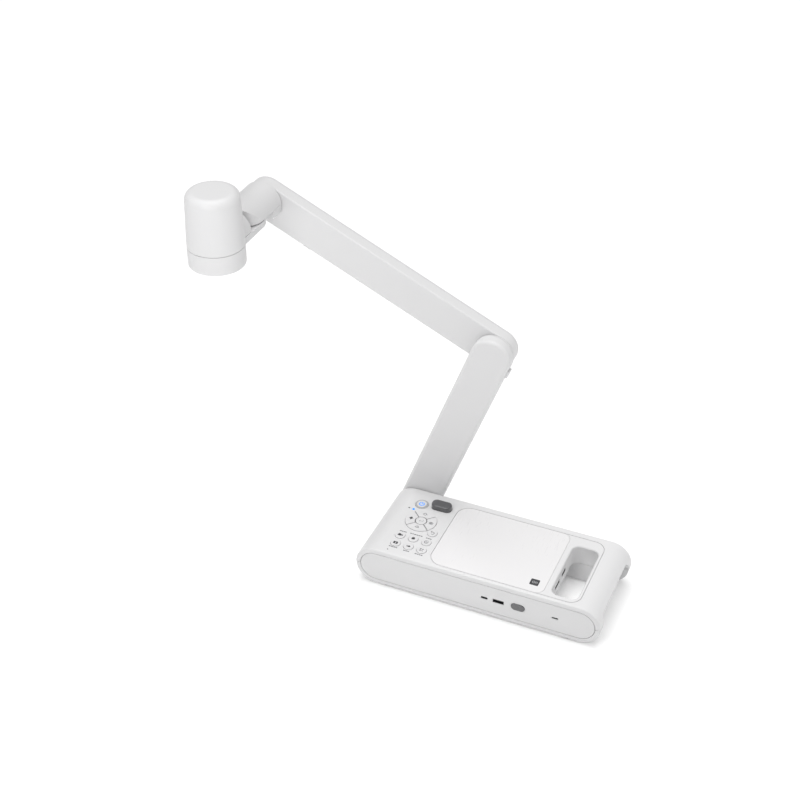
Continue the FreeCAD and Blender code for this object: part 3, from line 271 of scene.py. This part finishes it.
def lightGuide(name, look):
    # milky clear ring, and the small lamp beside it that shines blue
    f = Finish(name)
    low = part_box("keypad_lights")[0]
    keyLow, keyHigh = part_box("power_key")
    lampX, lampY = low.x + 1.6 * mm, low.y + 1.6 * mm
    lamp = f.distance(lampX, lampY).below(2.6 * mm)
    ring = f.distance((keyLow.x + keyHigh.x) / 2, (keyLow.y + keyHigh.y) / 2)
    streak = f.noise(800.0, 2.0)
    clear = f.blend(streak * 0.5 + (ring * 40.0), look["clear"], (0.44, 0.44, 0.455))
    colour = f.blend(lamp, clear, look["blue"])
    glow = f.blend(lamp, (0.0, 0.0, 0.0), look["glow"])
    return f.surface(Base_Color=colour, Roughness=0.22 + 0.1 * streak, Emission_Color=glow,
                     Emission_Strength=0.8, IOR=1.49)


def footRubber(name):
    # dark soft rubber with a dusty bloom
    f = Finish(name)
    dust = f.noise(300.0, 4.0, 0.65)
    colour = f.blend(dust, (0.045, 0.045, 0.047), (0.085, 0.084, 0.083))
    return f.surface(Base_Color=colour, Roughness=0.75 + 0.15 * dust,
                     Normal=f.relief(f.noise(1200.0, 3.0), 0.00006))


def turnedMetal(name, light, shade, roughness, stretch, depth):
    # metal with fine marks drawn out along one axis
    f = Finish(name)
    marks = f.noise(1400.0, 3.0, 0.6, stretch)
    stain = f.noise(45.0, 3.0)
    colour = f.blend(marks * 0.5 + stain * 0.5, light, shade)
    return f.surface(Base_Color=colour, Metallic=1.0, Roughness=roughness + 0.12 * marks + 0.06 * stain,
                     Normal=f.relief(marks, depth))


def washerPlastic(name):
    # natural slippery plastic, slightly yellow and waxy
    f = Finish(name)
    wax = f.noise(160.0, 3.0)
    colour = f.blend(wax, (0.72, 0.69, 0.60), (0.62, 0.59, 0.50))
    return f.surface(Base_Color=colour, Roughness=0.42 + 0.1 * wax,
                     Normal=f.relief(f.noise(900.0, 2.0), 0.00002))


def circuitBoard(name):
    # green solder resist over copper tracks, with tinned pads
    f = Finish(name)
    tracks = f.node("ShaderNodeTexBrick", None,
                    {"Vector": f.place, "Scale": 120.0, "Mortar Size": 0.035, "Color1": (0, 0, 0, 1),
                     "Color2": (0, 0, 0, 1), "Mortar": (1, 1, 1, 1)}, "Fac")
    pads = f.cells(260.0).below(0.16)
    green = f.blend(tracks, (0.015, 0.105, 0.045), (0.035, 0.20, 0.085))
    colour = f.blend(pads, green, (0.62, 0.63, 0.62))
    return f.surface(Base_Color=colour, Metallic=pads * 0.9, Roughness=0.38 + 0.1 * pads,
                     Normal=f.relief(tracks + pads, 0.00004))


def socketMetal(name, letter, mouth, inward):
    # bright lip at the socket's mouth; behind it a near-black colour that is partly black moulding and partly
    # painted shadow
    f = Finish(name)
    depth = (f.axis(letter) - mouth) * inward
    shadedInside = depth.over(0.12 * mm)
    marks = f.noise(1800.0, 2.0)
    # painted shadow: past the lip the colour turns near-black, standing in for the socket's shade as well as
    # its black moulding
    colour = f.blend(shadedInside, (0.06, 0.06, 0.065), (0.008, 0.008, 0.009))
    return f.surface(Base_Color=colour, Metallic=0.9 - 0.9 * shadedInside, Roughness=0.32 + 0.15 * marks,
                     Normal=f.relief(marks, 0.00001))


def lensGlass(name):
    # coated glass with a green-violet bloom
    f = Finish(name)
    coat = f.blend(f.noise(60.0, 2.0), (0.80, 0.90, 0.92), (0.74, 0.68, 0.94))
    return f.surface(Base_Color=coat, Transmission_Weight=1.0, IOR=1.52,
                     Roughness=0.015 + 0.01 * f.noise(400.0, 2.0), Coat_Weight=0.5, Coat_Roughness=0.02)


def printedInk(name, light, shade, roughness=0.55):
    # pad-printed ink with slightly broken coverage
    f = Finish(name)
    spread = f.noise(2600.0, 3.0)
    return f.surface(Base_Color=f.blend(spread, light, shade), Roughness=roughness + 0.1 * spread,
                     Normal=f.relief(spread, 0.000008))


def glowingInk(name, colour, strength):
    # clear blue window, lit from behind and a little uneven
    f = Finish(name)
    level = f.noise(700.0, 2.0)
    glow = f.blend(level, colour, tuple(0.75 * c for c in colour))
    return f.surface(Base_Color=glow, Roughness=0.3 + 0.1 * level, Emission_Color=glow,
                     Emission_Strength=strength)


def phosphor(name):
    # yellow chip behind a lamp's lens
    f = Finish(name)
    chip = f.cells(1500.0)
    colour = f.blend(chip, (0.78, 0.62, 0.10), (0.62, 0.50, 0.12))
    return f.surface(Base_Color=colour, Roughness=0.5 + 0.2 * chip, Normal=f.relief(chip, 0.00003))


powerLow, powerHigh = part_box("power_key")
powerMiddle = ((powerLow.x + powerHigh.x) / 2, (powerLow.y + powerHigh.y) / 2)
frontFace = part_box("front_sockets")[0].y
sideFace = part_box("side_sockets")[1].x

shellPlastic = mouldedPlastic("shell plastic", shellLook)
topPlate = smoothPlate("top plate", plateLook)
keyCap = keyPlastic("key cap", keyLook)
smokedPlastic = darkPlastic("smoked plastic", darkLook)
platedSteel = turnedMetal("plated steel", (0.60, 0.60, 0.61), (0.44, 0.44, 0.46), 0.30, (1, 0.05, 1), 0.00001)
inkDark = printedInk("dark ink", (0.030, 0.030, 0.033), (0.055, 0.055, 0.060))
inkGrey = printedInk("grey ink", (0.10, 0.10, 0.11), (0.15, 0.15, 0.16))
inkPale = printedInk("pale ink", (0.34, 0.34, 0.35), (0.42, 0.42, 0.43), 0.4)
blueGlow = glowingInk("blue glow", (0.008, 0.24, 0.85), 0.6)

slotFinishes = {
    "white_plastic": shellPlastic,
    "white_gloss": topPlate,
    "key_plastic": keyCap,
    "dark_plastic": smokedPlastic,
    "clear_light": lightGuide("light guide", lightLook),
    "rubber_grey": footRubber("foot rubber"),
    "steel": platedSteel,
    "bright_metal": socketMetal("front socket metal", "Y", frontFace, 1.0),
    "aluminium": turnedMetal("sawn aluminium", (0.72, 0.72, 0.74), (0.60, 0.60, 0.62), 0.36,
                             (0.06, 1, 0.06), 0.00002),
    "washer_plastic": washerPlastic("washer plastic"),
    "circuit_board": circuitBoard("circuit board"),
    "lens_glass": lensGlass("coated glass"),
}
nodeFinishes = {
    "power_key": keyPlastic("lit key cap", keyLook, powerMiddle),
    "side_sockets": socketMetal("side socket metal", "X", sideFace, -1.0),
    "microphone": printedInk("microphone foam", (0.010, 0.010, 0.011), (0.022, 0.022, 0.023), 0.85),
}


def dressNodes():
    # every CAD node gets the finish of its slot, or its own
    for part in frame["record"]["subparts"]:
        name = part["node"]
        finish = nodeFinishes.get(name, slotFinishes[part["material_slot"]])
        mesh = cadNodes[name].data
        if not mesh.materials:
            mesh.materials.append(finish)
        for index in range(len(mesh.materials)):
            mesh.materials[index] = finish


dressNodes()
print("materials on every node")


# every surface below is a grid of points (i, j), with j going once round it

def wrapGrid(rows, count, start):
    # four-cornered faces between rows of a grid whose columns close up
    i, j = np.meshgrid(np.arange(rows - 1), np.arange(count), indexing="ij")
    k = (j + 1) % count
    corners = (i * count + j, i * count + k, (i + 1) * count + k, (i + 1) * count + j)
    return np.stack(corners, axis=-1).reshape(-1, 4) + start


def poleFan(pole, ring, outward):
    # three-cornered faces from one point to a closed ring
    turned = np.roll(ring, -1)
    order = (ring, turned) if outward else (turned, ring)
    return np.stack((np.full(len(ring), pole), *order), axis=-1)


def closedGrid(rows):
    # rows is (n, m, 3); both ends are closed with a middle point
    n, m = rows.shape[:2]
    points = np.concatenate((rows.reshape(-1, 3), rows[:1].mean(axis=1), rows[-1:].mean(axis=1)))
    quads = wrapGrid(n, m, 0)
    first = poleFan(n * m, np.arange(m), False)
    last = poleFan(n * m + 1, np.arange(m) + (n - 1) * m, True)
    return points, [quads, first, last]


def turned(profile, middle, count=48, outline=None):
    # point(t, a) = middle + r(t) * outline(a) * (cos a, sin a), height z(t); profile is rows of (r, z)
    profile = np.asarray(profile, float)
    angle = np.arange(count) * 2 * np.pi / count
    reach = np.ones(count) if outline is None else outline(angle)
    across = profile[:, :1] * reach * np.cos(angle) + middle[0]
    along = profile[:, :1] * reach * np.sin(angle) + middle[1]
    height = np.repeat(profile[:, 1:], count, axis=1)
    return closedGrid(np.stack((across, along, height), axis=-1))


def strip(path, width, low, high, sides=10):
    # point(s, b) = path(s) + width/2 * c(b) * side(s), height between low and high by sin b, corners rounded
    path = np.asarray(path, float)
    heading = np.gradient(path, axis=0)
    heading /= np.linalg.norm(heading, axis=1, keepdims=True)
    side = np.stack((heading[:, 1], -heading[:, 0]), axis=1)
    b = (np.arange(sides) + 0.5) * 2 * np.pi / sides
    square = 0.45
    c = np.sign(np.cos(b)) * np.abs(np.cos(b)) ** square
    s = np.sign(np.sin(b)) * np.abs(np.sin(b)) ** square
    flat = path[:, None, :] + side[:, None, :] * (width / 2 * c)[None, :, None]
    height = np.broadcast_to((low + high) / 2 + (high - low) / 2 * s, flat.shape[:2])
    rows = np.concatenate((flat, height[..., None]), axis=-1)
    points, faces = closedGrid(rows)
    return points, [face[:, ::-1] for face in faces]


def superRound(aspect, power):
    # reach(a) of a rounded box: (|cos a|^p + |sin a / aspect|^p)^(-1/p)
    def reach(a):
        return (np.abs(np.cos(a)) ** power + np.abs(np.sin(a) / aspect) ** power) ** (-1 / power)
    return reach


def makePiece(name, body, finish, shapes, smooth=40.0):
    # joins shapes into one mesh object and lets it ride on a body
    points, faces, base = [], [], 0
    for shapePoints, shapeFaces in shapes:
        points.append(shapePoints)
        for group in shapeFaces:
            faces.extend((group + base).tolist())
        base += len(shapePoints)
    mesh = bpy.data.meshes.new(name)
    mesh.from_pydata(np.concatenate(points).tolist(), [], faces)
    mesh.materials.append(finish)
    mesh.shade_smooth()
    mesh.set_sharp_from_angle(angle=math.radians(smooth))
    piece = bpy.data.objects.new(name, mesh)
    bpy.context.scene.collection.objects.link(piece)
    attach(piece, body)
    return piece


inkHeight = {"under": -0.04 * mm, "over": 0.035 * mm}  # from the key's face
signSpread = {"reach": 1.15, "weight": 1.3}  # how much the key signs below are enlarged


def arcPath(x, y, radius, start, end):
    # circle part from one angle to another, in degrees
    angle = np.radians(np.linspace(start, end, 28))
    return np.stack((x + radius * np.cos(angle), y + radius * np.sin(angle)), axis=1)


def drawSign(marks, middle, face):
    # marks are in millimetres from the key's middle
    low, high = face + inkHeight["under"], face + inkHeight["over"]
    shapes = []
    for kind, *v in marks:
        if kind == "arc":
            x, y, radius, start, end, width = v
            path = arcPath(middle[0] + x * mm, middle[1] + y * mm, radius * mm, start, end)
            shapes.append(strip(path, width * mm, low, high))
        elif kind == "line":
            x0, y0, x1, y1, width = v
            share = np.linspace(0, 1, 6)[:, None]
            ends = np.array(((x0, y0), (x1, y1))) * mm + np.array(middle)
            shapes.append(strip(ends[0] * (1 - share) + ends[1] * share, width * mm, low, high))
        else:
            x, y, half, aspect, power = v
            profile = np.array(((half * mm, low), (half * mm, high - 0.01 * mm), (half * 0.93 * mm, high)))
            where = (middle[0] + x * mm, middle[1] + y * mm)
            shapes.append(turned(profile, where, 32, superRound(aspect, power)))
    return shapes


def enlarged(marks, spread):
    # places, radii and lengths grow by reach, line widths by weight
    grown = []
    for kind, *v in marks:
        reach, weight = spread["reach"], spread["weight"]
        if kind == "arc":
            x, y, radius, start, end, width = v
            grown.append((kind, x * reach, y * reach, radius * reach, start, end, width * weight))
        elif kind == "line":
            grown.append((kind, *(value * reach for value in v[:4]), v[4] * weight))
        else:
            x, y, half, aspect, power = v
            grown.append((kind, x * reach, y * reach, half * reach, aspect, power))
    return grown


padReach = 12.75  # from the middle of the pad to a direction key's sign
keySigns = {
    "up_key": ("grey", [("arc", 0, 0, 1.5, 0, 359, 0.5), ("line", 0, 1.9, 0, 2.6, 0.45),
                        ("line", -1.9, 0, -2.6, 0, 0.45), ("line", 1.9, 0, 2.6, 0, 0.45)]),
    "down_key": ("grey", [("arc", 0, 0.2, 1.3, 0, 359, 0.5), ("line", -2.3, -0.4, -1.5, -0.4, 0.45),
                          ("line", 1.5, -0.4, 2.3, -0.4, 0.45)]),
    "left_key": ("dark", [("plate", 0, 0, 1.5, 1.0, 3.0), ("line", 0, -2.3, 0, 2.3, 0.5),
                          ("line", -2.3, 0, 2.3, 0, 0.5)]),
    "right_key": ("grey", [("arc", 0, -0.9, 2.4, 25, 155, 0.6), ("arc", 0, 0.9, 2.4, 205, 335, 0.6),
                           ("plate", 0, 0, 0.9, 1.0, 2.0)]),
    "centre_key": ("pale", [("line", 2.2, 1.2, 2.2, -0.5, 0.55), ("line", 2.2, -0.5, -2.0, -0.5, 0.55),
                            ("line", -2.0, -0.5, -0.9, 0.6, 0.5), ("line", -2.0, -0.5, -0.9, -1.6, 0.5)]),
    "zoom_key": ("grey", [("arc", 0.4, -0.2, 1.7, -120, 90, 0.6), ("line", 0.4, 1.5, -1.9, 1.5, 0.6),
                          ("line", -1.9, 1.5, -0.9, 2.4, 0.5), ("line", -1.9, 1.5, -0.9, 0.6, 0.5)]),
    "menu_key": ("dark", [("plate", -0.6, 0, 1.9, 0.68, 5.0), ("plate", 2.1, 0.2, 0.9, 1.0, 2.5),
                          ("line", -1.9, 1.7, 0.2, 1.7, 0.8)]),
    "freeze_key": ("dark", [("plate", 0, 0, 1.75, 0.85, 6.0), ("line", -0.7, 1.7, 0.7, 1.7, 0.6)]),
    "record_key": ("grey", [("arc", 0, 0, 1.9, 70, 390, 0.6), ("line", 0.7, 1.8, 1.9, 2.2, 0.5),
                            ("plate", 0, -0.1, 0.6, 1.0, 2.0)]),
    "lamp_key": ("dark", [("plate", -1.3, 0, 1.1, 1.2, 4.0), ("plate", 1.5, 0, 1.0, 1.2, 4.0),
                          ("line", -2.3, 1.5, 2.4, 1.5, 0.6), ("line", -2.3, -1.4, 2.4, -1.4, 0.5)]),
    "rotate_key": ("dark", [("plate", 0.9, 0, 1.05, 1.0, 2.4), ("line", -2.3, 0.3, 0.1, 0.3, 0.6),
                            ("line", -1.7, -0.9, 1.6, -0.9, 0.5)]),
    "source_key": ("grey", [("plate", -1.2, 1.1, 0.8, 0.9, 5.0), ("plate", 1.1, 1.1, 0.7, 0.9, 5.0),
                            ("arc", -1.1, -1.2, 0.8, 0, 359, 0.4), ("line", 0.5, -0.7, 1.9, -1.9, 0.5)]),
}
signInks = {"dark": inkDark, "grey": inkGrey, "pale": inkPale}
padTurns = {"right_key": (1, 0), "up_key": (0, 1), "left_key": (-1, 0), "down_key": (0, -1)}


def middleOf(node):
    low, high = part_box(node)
    return (low.x + high.x) / 2, (low.y + high.y) / 2


def signPlace(name):
    # a direction key's sign sits at padReach from the pad's middle, every other at its key's middle
    x, y = middleOf("centre_key" if name in padTurns else name)
    dx, dy = padTurns.get(name, (0, 0))
    return x + dx * padReach * mm, y + dy * padReach * mm


def makeSigns():
    for name, (ink, marks) in keySigns.items():
        shapes = drawSign(enlarged(marks, signSpread), signPlace(name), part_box(name)[1].z)
        makePiece(name + "_sign", name.replace("_key", "_button"), signInks[ink], shapes)


makeSigns()

powerSign = [("arc", 0, -0.4, 2.9, 122, 418, 1.15), ("line", 0, 0.1, 0, 3.3, 1.15)]
makePiece("power_sign", "power_button", blueGlow,
          drawSign(powerSign, powerMiddle, powerHigh.z))
print("signs printed on the keys")


legendRows = {
    # key: (x, y from its middle, bar lengths, gap), in millimetres
    "menu_key": (0.6, 8.0, (2.2, 1.6, 1.8, 1.5), 0.45),
    "freeze_key": (0.4, 8.3, (2.2, 1.8, 2.6, 1.8, 2.3, 2.2), 0.55),
    "record_key": (0.0, 7.8, (2.0, 2.2, 2.1), 0.45),
    "lamp_key": (-0.1, -7.3, (2.6, 2.2, 2.2, 2.1), 0.5),
    "rotate_key": (0.4, -8.0, (2.4, 2.2, 1.9), 0.5),
    "source_key": (-0.4, -8.1, (2.4, 1.9, 2.0, 1.8), 0.5),
}
legendHeight = 1.35


def legendMarks(row):
    x, y, bars, gap = row
    whole = sum(bars) + gap * (len(bars) - 1)
    marks, at = [], x - whole / 2
    for bar in bars:
        marks.append(("line", at, y, at + bar, y, legendHeight))
        at += bar + gap
    return marks


def makeLegends():
    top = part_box("base_top_shell")[1].z
    shapes = []
    for name, row in legendRows.items():
        shapes += drawSign(legendMarks(row), middleOf(name), top)
    shapes += drawSign([("plate", -11.7, -11.7, 1.3, 0.65, 3.0)], powerMiddle, top)
    makePiece("keypad_legends", "base", inkGrey, shapes)


makeLegends()


pinholeSizes = {"radius": 0.75, "rise": 0.05, "root": 0.2, "fromLamp": (-4.3, -13.5)}


def makePinhole(sizes):
    # a small dark dot near the keypad's front corner, dark ink as painted shade where the pinhole is: low
    # cap, z = top + rise * (1 - t^2)
    x, y = middleOf("lamp_key")
    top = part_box("base_top_shell")[1].z
    t = np.linspace(0, 1, 9)
    edge, rise = sizes["radius"] * mm, sizes["rise"] * mm
    radius = edge * np.sin(0.5 * np.pi * (0.1 + 0.9 * t))
    profile = np.stack((radius[::-1], top + rise - rise * t[::-1] ** 2), axis=1)
    base = np.array(((edge, top - sizes["root"] * mm),))
    dx, dy = sizes["fromLamp"]
    # painted shade: the dark ink stands in for the darkness inside the hole
    makePiece("keypad_pinhole", "base", inkDark,
              [turned(np.concatenate((base, profile)), (x + dx * mm, y + dy * mm), 24)])


makePinhole(pinholeSizes)

badgeSizes = {"half": 5.2, "fromRight": 13.8, "fromFront": 15.9, "rise": 0.05}


def makeBadge(sizes):
    # dark square plate with rounded corners and a plain pale ring and corner marks on it
    low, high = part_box("inlay_panel")
    x = high.x - sizes["fromRight"] * mm
    y = low.y + sizes["fromFront"] * mm
    face = high.z
    half, rise = sizes["half"] * mm, sizes["rise"] * mm
    profile = np.array(((half, face - rise), (half, face + rise * 0.6), (half - 0.05 * mm, face + rise)))
    makePiece("inlay_badge", "base", inkDark,
              [turned(profile, (x, y), 64, superRound(1.0, 12.0))])
    marks = [("arc", -1.2, 0, 1.5, 0, 359, 0.7), ("line", 1.4, 1.6, 1.4, -1.6, 0.7),
             ("line", 3.0, 1.6, 3.0, -1.6, 0.7)]
    makePiece("inlay_badge_sign", "base", inkPale, drawSign(marks, (x, y), face + rise))


makeBadge(badgeSizes)
print("legends and badge on the base")


lensSizes = {"inner": 4.6, "gap": 0.6, "lowerDepth": 1.2, "upperDepth": 0.9, "middleThick": 1.5,
             "hole": 2.3, "rim": 4.9, "irisHeight": 5.0, "irisCone": 1.2, "irisThick": 1.6}


def makeLens(sizes):
    middle = middleOf("lens_barrel")
    t = np.linspace(0.02, 1, 20)
    # curved inner element: both faces are bowls, z = z0 + depth * t^2, t from the middle to the rim
    z0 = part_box("lens_glass")[1].z + sizes["gap"] * mm
    radius = sizes["inner"] * mm
    lower = np.stack((t * radius, z0 + sizes["lowerDepth"] * mm * t ** 2), axis=1)
    upperFace = z0 + sizes["middleThick"] * mm + sizes["upperDepth"] * mm * t[::-1] ** 2
    upper = np.stack((t[::-1] * radius, upperFace), axis=1)
    makePiece("lens_inner_element", "head", slotFinishes["lens_glass"],
              [turned(np.concatenate((lower, upper)), middle, 64)])
    # iris: flat ring closed on itself, seen through the glass
    hole, rim, z1 = sizes["hole"] * mm, sizes["rim"] * mm, z0 + sizes["irisHeight"] * mm
    cone, thick = z1 + sizes["irisCone"] * mm, z1 + sizes["irisThick"] * mm
    ring = np.array(((0.02 * mm, cone), (hole, z1), (rim, z1), (rim, thick)))
    makePiece("lens_iris", "head", inkDark, [turned(ring, middle, 64)])


chipSizes = {"radius": 1.7, "fromEdge": 5.5, "sink": 0.02, "dome": 0.25, "thick": 0.5}


def makeLampChips(sizes):
    # a domed yellow chip above each lamp lens
    low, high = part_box("head_lamps")
    y = (low.y + high.y) / 2
    shapes = []
    radius, edge = sizes["radius"] * mm, sizes["fromEdge"] * mm
    for x in (low.x + edge, high.x - edge):
        t = np.linspace(0.03, 1, 12) * np.pi / 2
        height = low.z - sizes["sink"] * mm + sizes["dome"] * mm * (1 - np.cos(t))
        dome = np.stack((radius * np.sin(t), height), axis=1)
        back = np.array(((radius, low.z + sizes["thick"] * mm),))
        shapes.append(turned(np.concatenate((dome, back)), (x, y), 32))
    makePiece("lamp_chips", "head", phosphor("phosphor"), shapes)


makeLens(lensSizes)
makeLampChips(chipSizes)
print("lens and lamps made")


screwSizes = {"radius": 2.7, "dome": 0.35, "crossReach": 1.5, "crossHalf": 0.42, "crossDepth": 0.75,
              "shank": 1.5, "length": 7.5}


def screwShape(x, y, zLow, sizes):
    # head: z = low + dome * t^2.5 + depth * cross(t, a), the cross a smooth product of two steps
    t = np.linspace(0.04, 1, 22)
    a = np.arange(72) * 2 * np.pi / 72
    radius = t[:, None] * sizes["radius"]
    px, py = radius * np.cos(a), radius * np.sin(a)
    slotDistance = np.minimum(np.abs(px), np.abs(py))
    arm = 1 / (1 + np.exp((slotDistance - sizes["crossHalf"]) / 0.06))
    end = 1 / (1 + np.exp((np.hypot(px, py) - sizes["crossReach"]) / 0.08))
    dome = sizes["dome"] * t[:, None] ** 2.5
    height = dome + sizes["crossDepth"] * arm * end
    head = np.stack((px, py, height), axis=-1)
    tail = np.array(((sizes["radius"], 0.95), (sizes["shank"], 1.0), (sizes["shank"], sizes["length"])))
    under = np.stack((tail[:, :1] * np.cos(a), tail[:, :1] * np.sin(a),
                      np.repeat(tail[:, 1:], len(a), axis=1)), axis=-1)
    rows = np.concatenate((head, under)) * mm + np.array((x, y, zLow))
    return closedGrid(rows)


def makeScrews(sizes):
    # three pairs along the base, where the plain screws were
    low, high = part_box("base_screws")
    edge = sizes["radius"] * mm
    xs = np.array((low.x + edge, 0.0, high.x - edge))
    ys = np.array((low.y + edge, high.y - edge))
    shapes = [screwShape(x, y, low.z, sizes) for x in xs for y in ys]
    screws = makePiece("cross_screws", "base", platedSteel, shapes)
    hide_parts("base_screws")


makeScrews(screwSizes)
print("screws made")


studio = {
    "floorSize": 9.0,
    "floorLight": (0.94, 0.94, 0.94),
    "floorShade": (0.93, 0.93, 0.93),
    "sky": 0.32,
    "floorGlow": 0.10,
    "backdropRise": 2.5,
    "ceiling": 2.15,  # strength of the wide even light from above
    "ceilingSpread": 55.0,
    "ceilingPlace": (-0.25, 0.25, 3.0),
    "softboxes": {
        # name: (place, target, size, power)
        "front": ((-0.22, -0.72, 0.72), (-0.33, 0.0, 0.42), 0.5, 2.9),
        "right": ((1.3, 0.2, 0.75), (-0.1, 0.0, 0.25), 0.8, 3.4),
    },
}


def makeFloor(look):
    # flat sheet under the feet, point(u, v) on an even grid
    u = np.linspace(-1, 1, 9) * look["floorSize"] / 2
    gridX, gridY = np.meshgrid(u, u, indexing="ij")
    points = np.stack((gridX, gridY, np.full_like(gridX, -0.0002)), axis=-1).reshape(-1, 3)
    i, j = np.meshgrid(np.arange(8), np.arange(8), indexing="ij")
    at = i * 9 + j
    faces = np.stack((at, at + 9, at + 10, at + 1), axis=-1).reshape(-1, 4)
    mesh = bpy.data.meshes.new("floor")
    mesh.from_pydata(points.tolist(), [], faces.tolist())
    f = Finish("floor paper")
    fibre = f.noise(90.0, 4.0)
    mesh.materials.append(f.surface(Base_Color=f.blend(fibre, look["floorLight"], look["floorShade"]),
                                    Roughness=0.9 + 0.05 * fibre, Emission_Color=(1.0, 1.0, 1.0),
                                    Emission_Strength=look["floorGlow"]))
    floor = bpy.data.objects.new("floor", mesh)
    bpy.context.scene.collection.objects.link(floor)


def makeBackdrop(look):
    # plain white wall right round the floor and closed above it, seen by the camera only:
    # point(t, a) = reach * (cos a, sin a) and height rise * t up the wall, then in to a middle point
    angle = np.arange(64) * 2 * np.pi / 64
    share = np.array((1.0, 1.0, 0.6, 0.2))[:, None]
    height = np.array((-0.01, 1.0, 1.25, 1.35))[:, None] * look["backdropRise"]
    reach = share * look["floorSize"] * 0.49
    rows = np.stack((reach * np.cos(angle), reach * np.sin(angle), np.repeat(height, 64, axis=1)), axis=-1)
    points, faces = closedGrid(rows)
    walls = [face[:, ::-1] for face in (faces[0], faces[2])]
    mesh = bpy.data.meshes.new("backdrop")
    mesh.from_pydata(points.tolist(), [], [corner for face in walls for corner in face.tolist()])
    f = Finish("backdrop paper")
    mesh.materials.append(f.surface(Base_Color=(0.0, 0.0, 0.0), Roughness=0.9 + 0.05 * f.noise(3.0),
                                    Emission_Color=(1.0, 1.0, 1.0), Emission_Strength=1.0))
    backdrop = bpy.data.objects.new("backdrop", mesh)
    for rays in ("diffuse", "glossy", "transmission", "volume_scatter", "shadow"):
        setattr(backdrop, "visible_" + rays, False)
    bpy.context.scene.collection.objects.link(backdrop)


def hangLamp(data, place, target):
    lamp = bpy.data.objects.new(data.name, data)
    lamp.location = place
    lamp.rotation_euler = (Vector(target) - Vector(place)).to_track_quat("-Z", "Y").to_euler()
    lamp.visible_camera = False
    bpy.context.scene.collection.objects.link(lamp)


def makeSoftbox(name, place, target, size, power):
    data = bpy.data.lights.new(name, "AREA")
    data.shape = "DISK"
    data.size = size
    data.energy = power
    hangLamp(data, place, target)


def makeCeiling(look):
    # a very wide, even light, so the floor is equally bright everywhere
    data = bpy.data.lights.new("ceiling light", "SUN")
    data.energy = look["ceiling"]
    data.angle = math.radians(look["ceilingSpread"])
    hangLamp(data, look["ceilingPlace"], (0.0, 0.0, 0.0))


def makeSky(strength):
    world = bpy.data.worlds.new("soft room")
    bpy.context.scene.world = world
    world.use_nodes = True
    back = world.node_tree.nodes["Background"]
    back.inputs["Color"].default_value = (1.0, 1.0, 1.0, 1.0)
    back.inputs["Strength"].default_value = strength


makeFloor(studio)
makeBackdrop(studio)
makeSky(studio["sky"])
makeCeiling(studio)
for boxName, boxValues in studio["softboxes"].items():
    makeSoftbox(boxName + " softbox", *boxValues)
print("floor and light set")
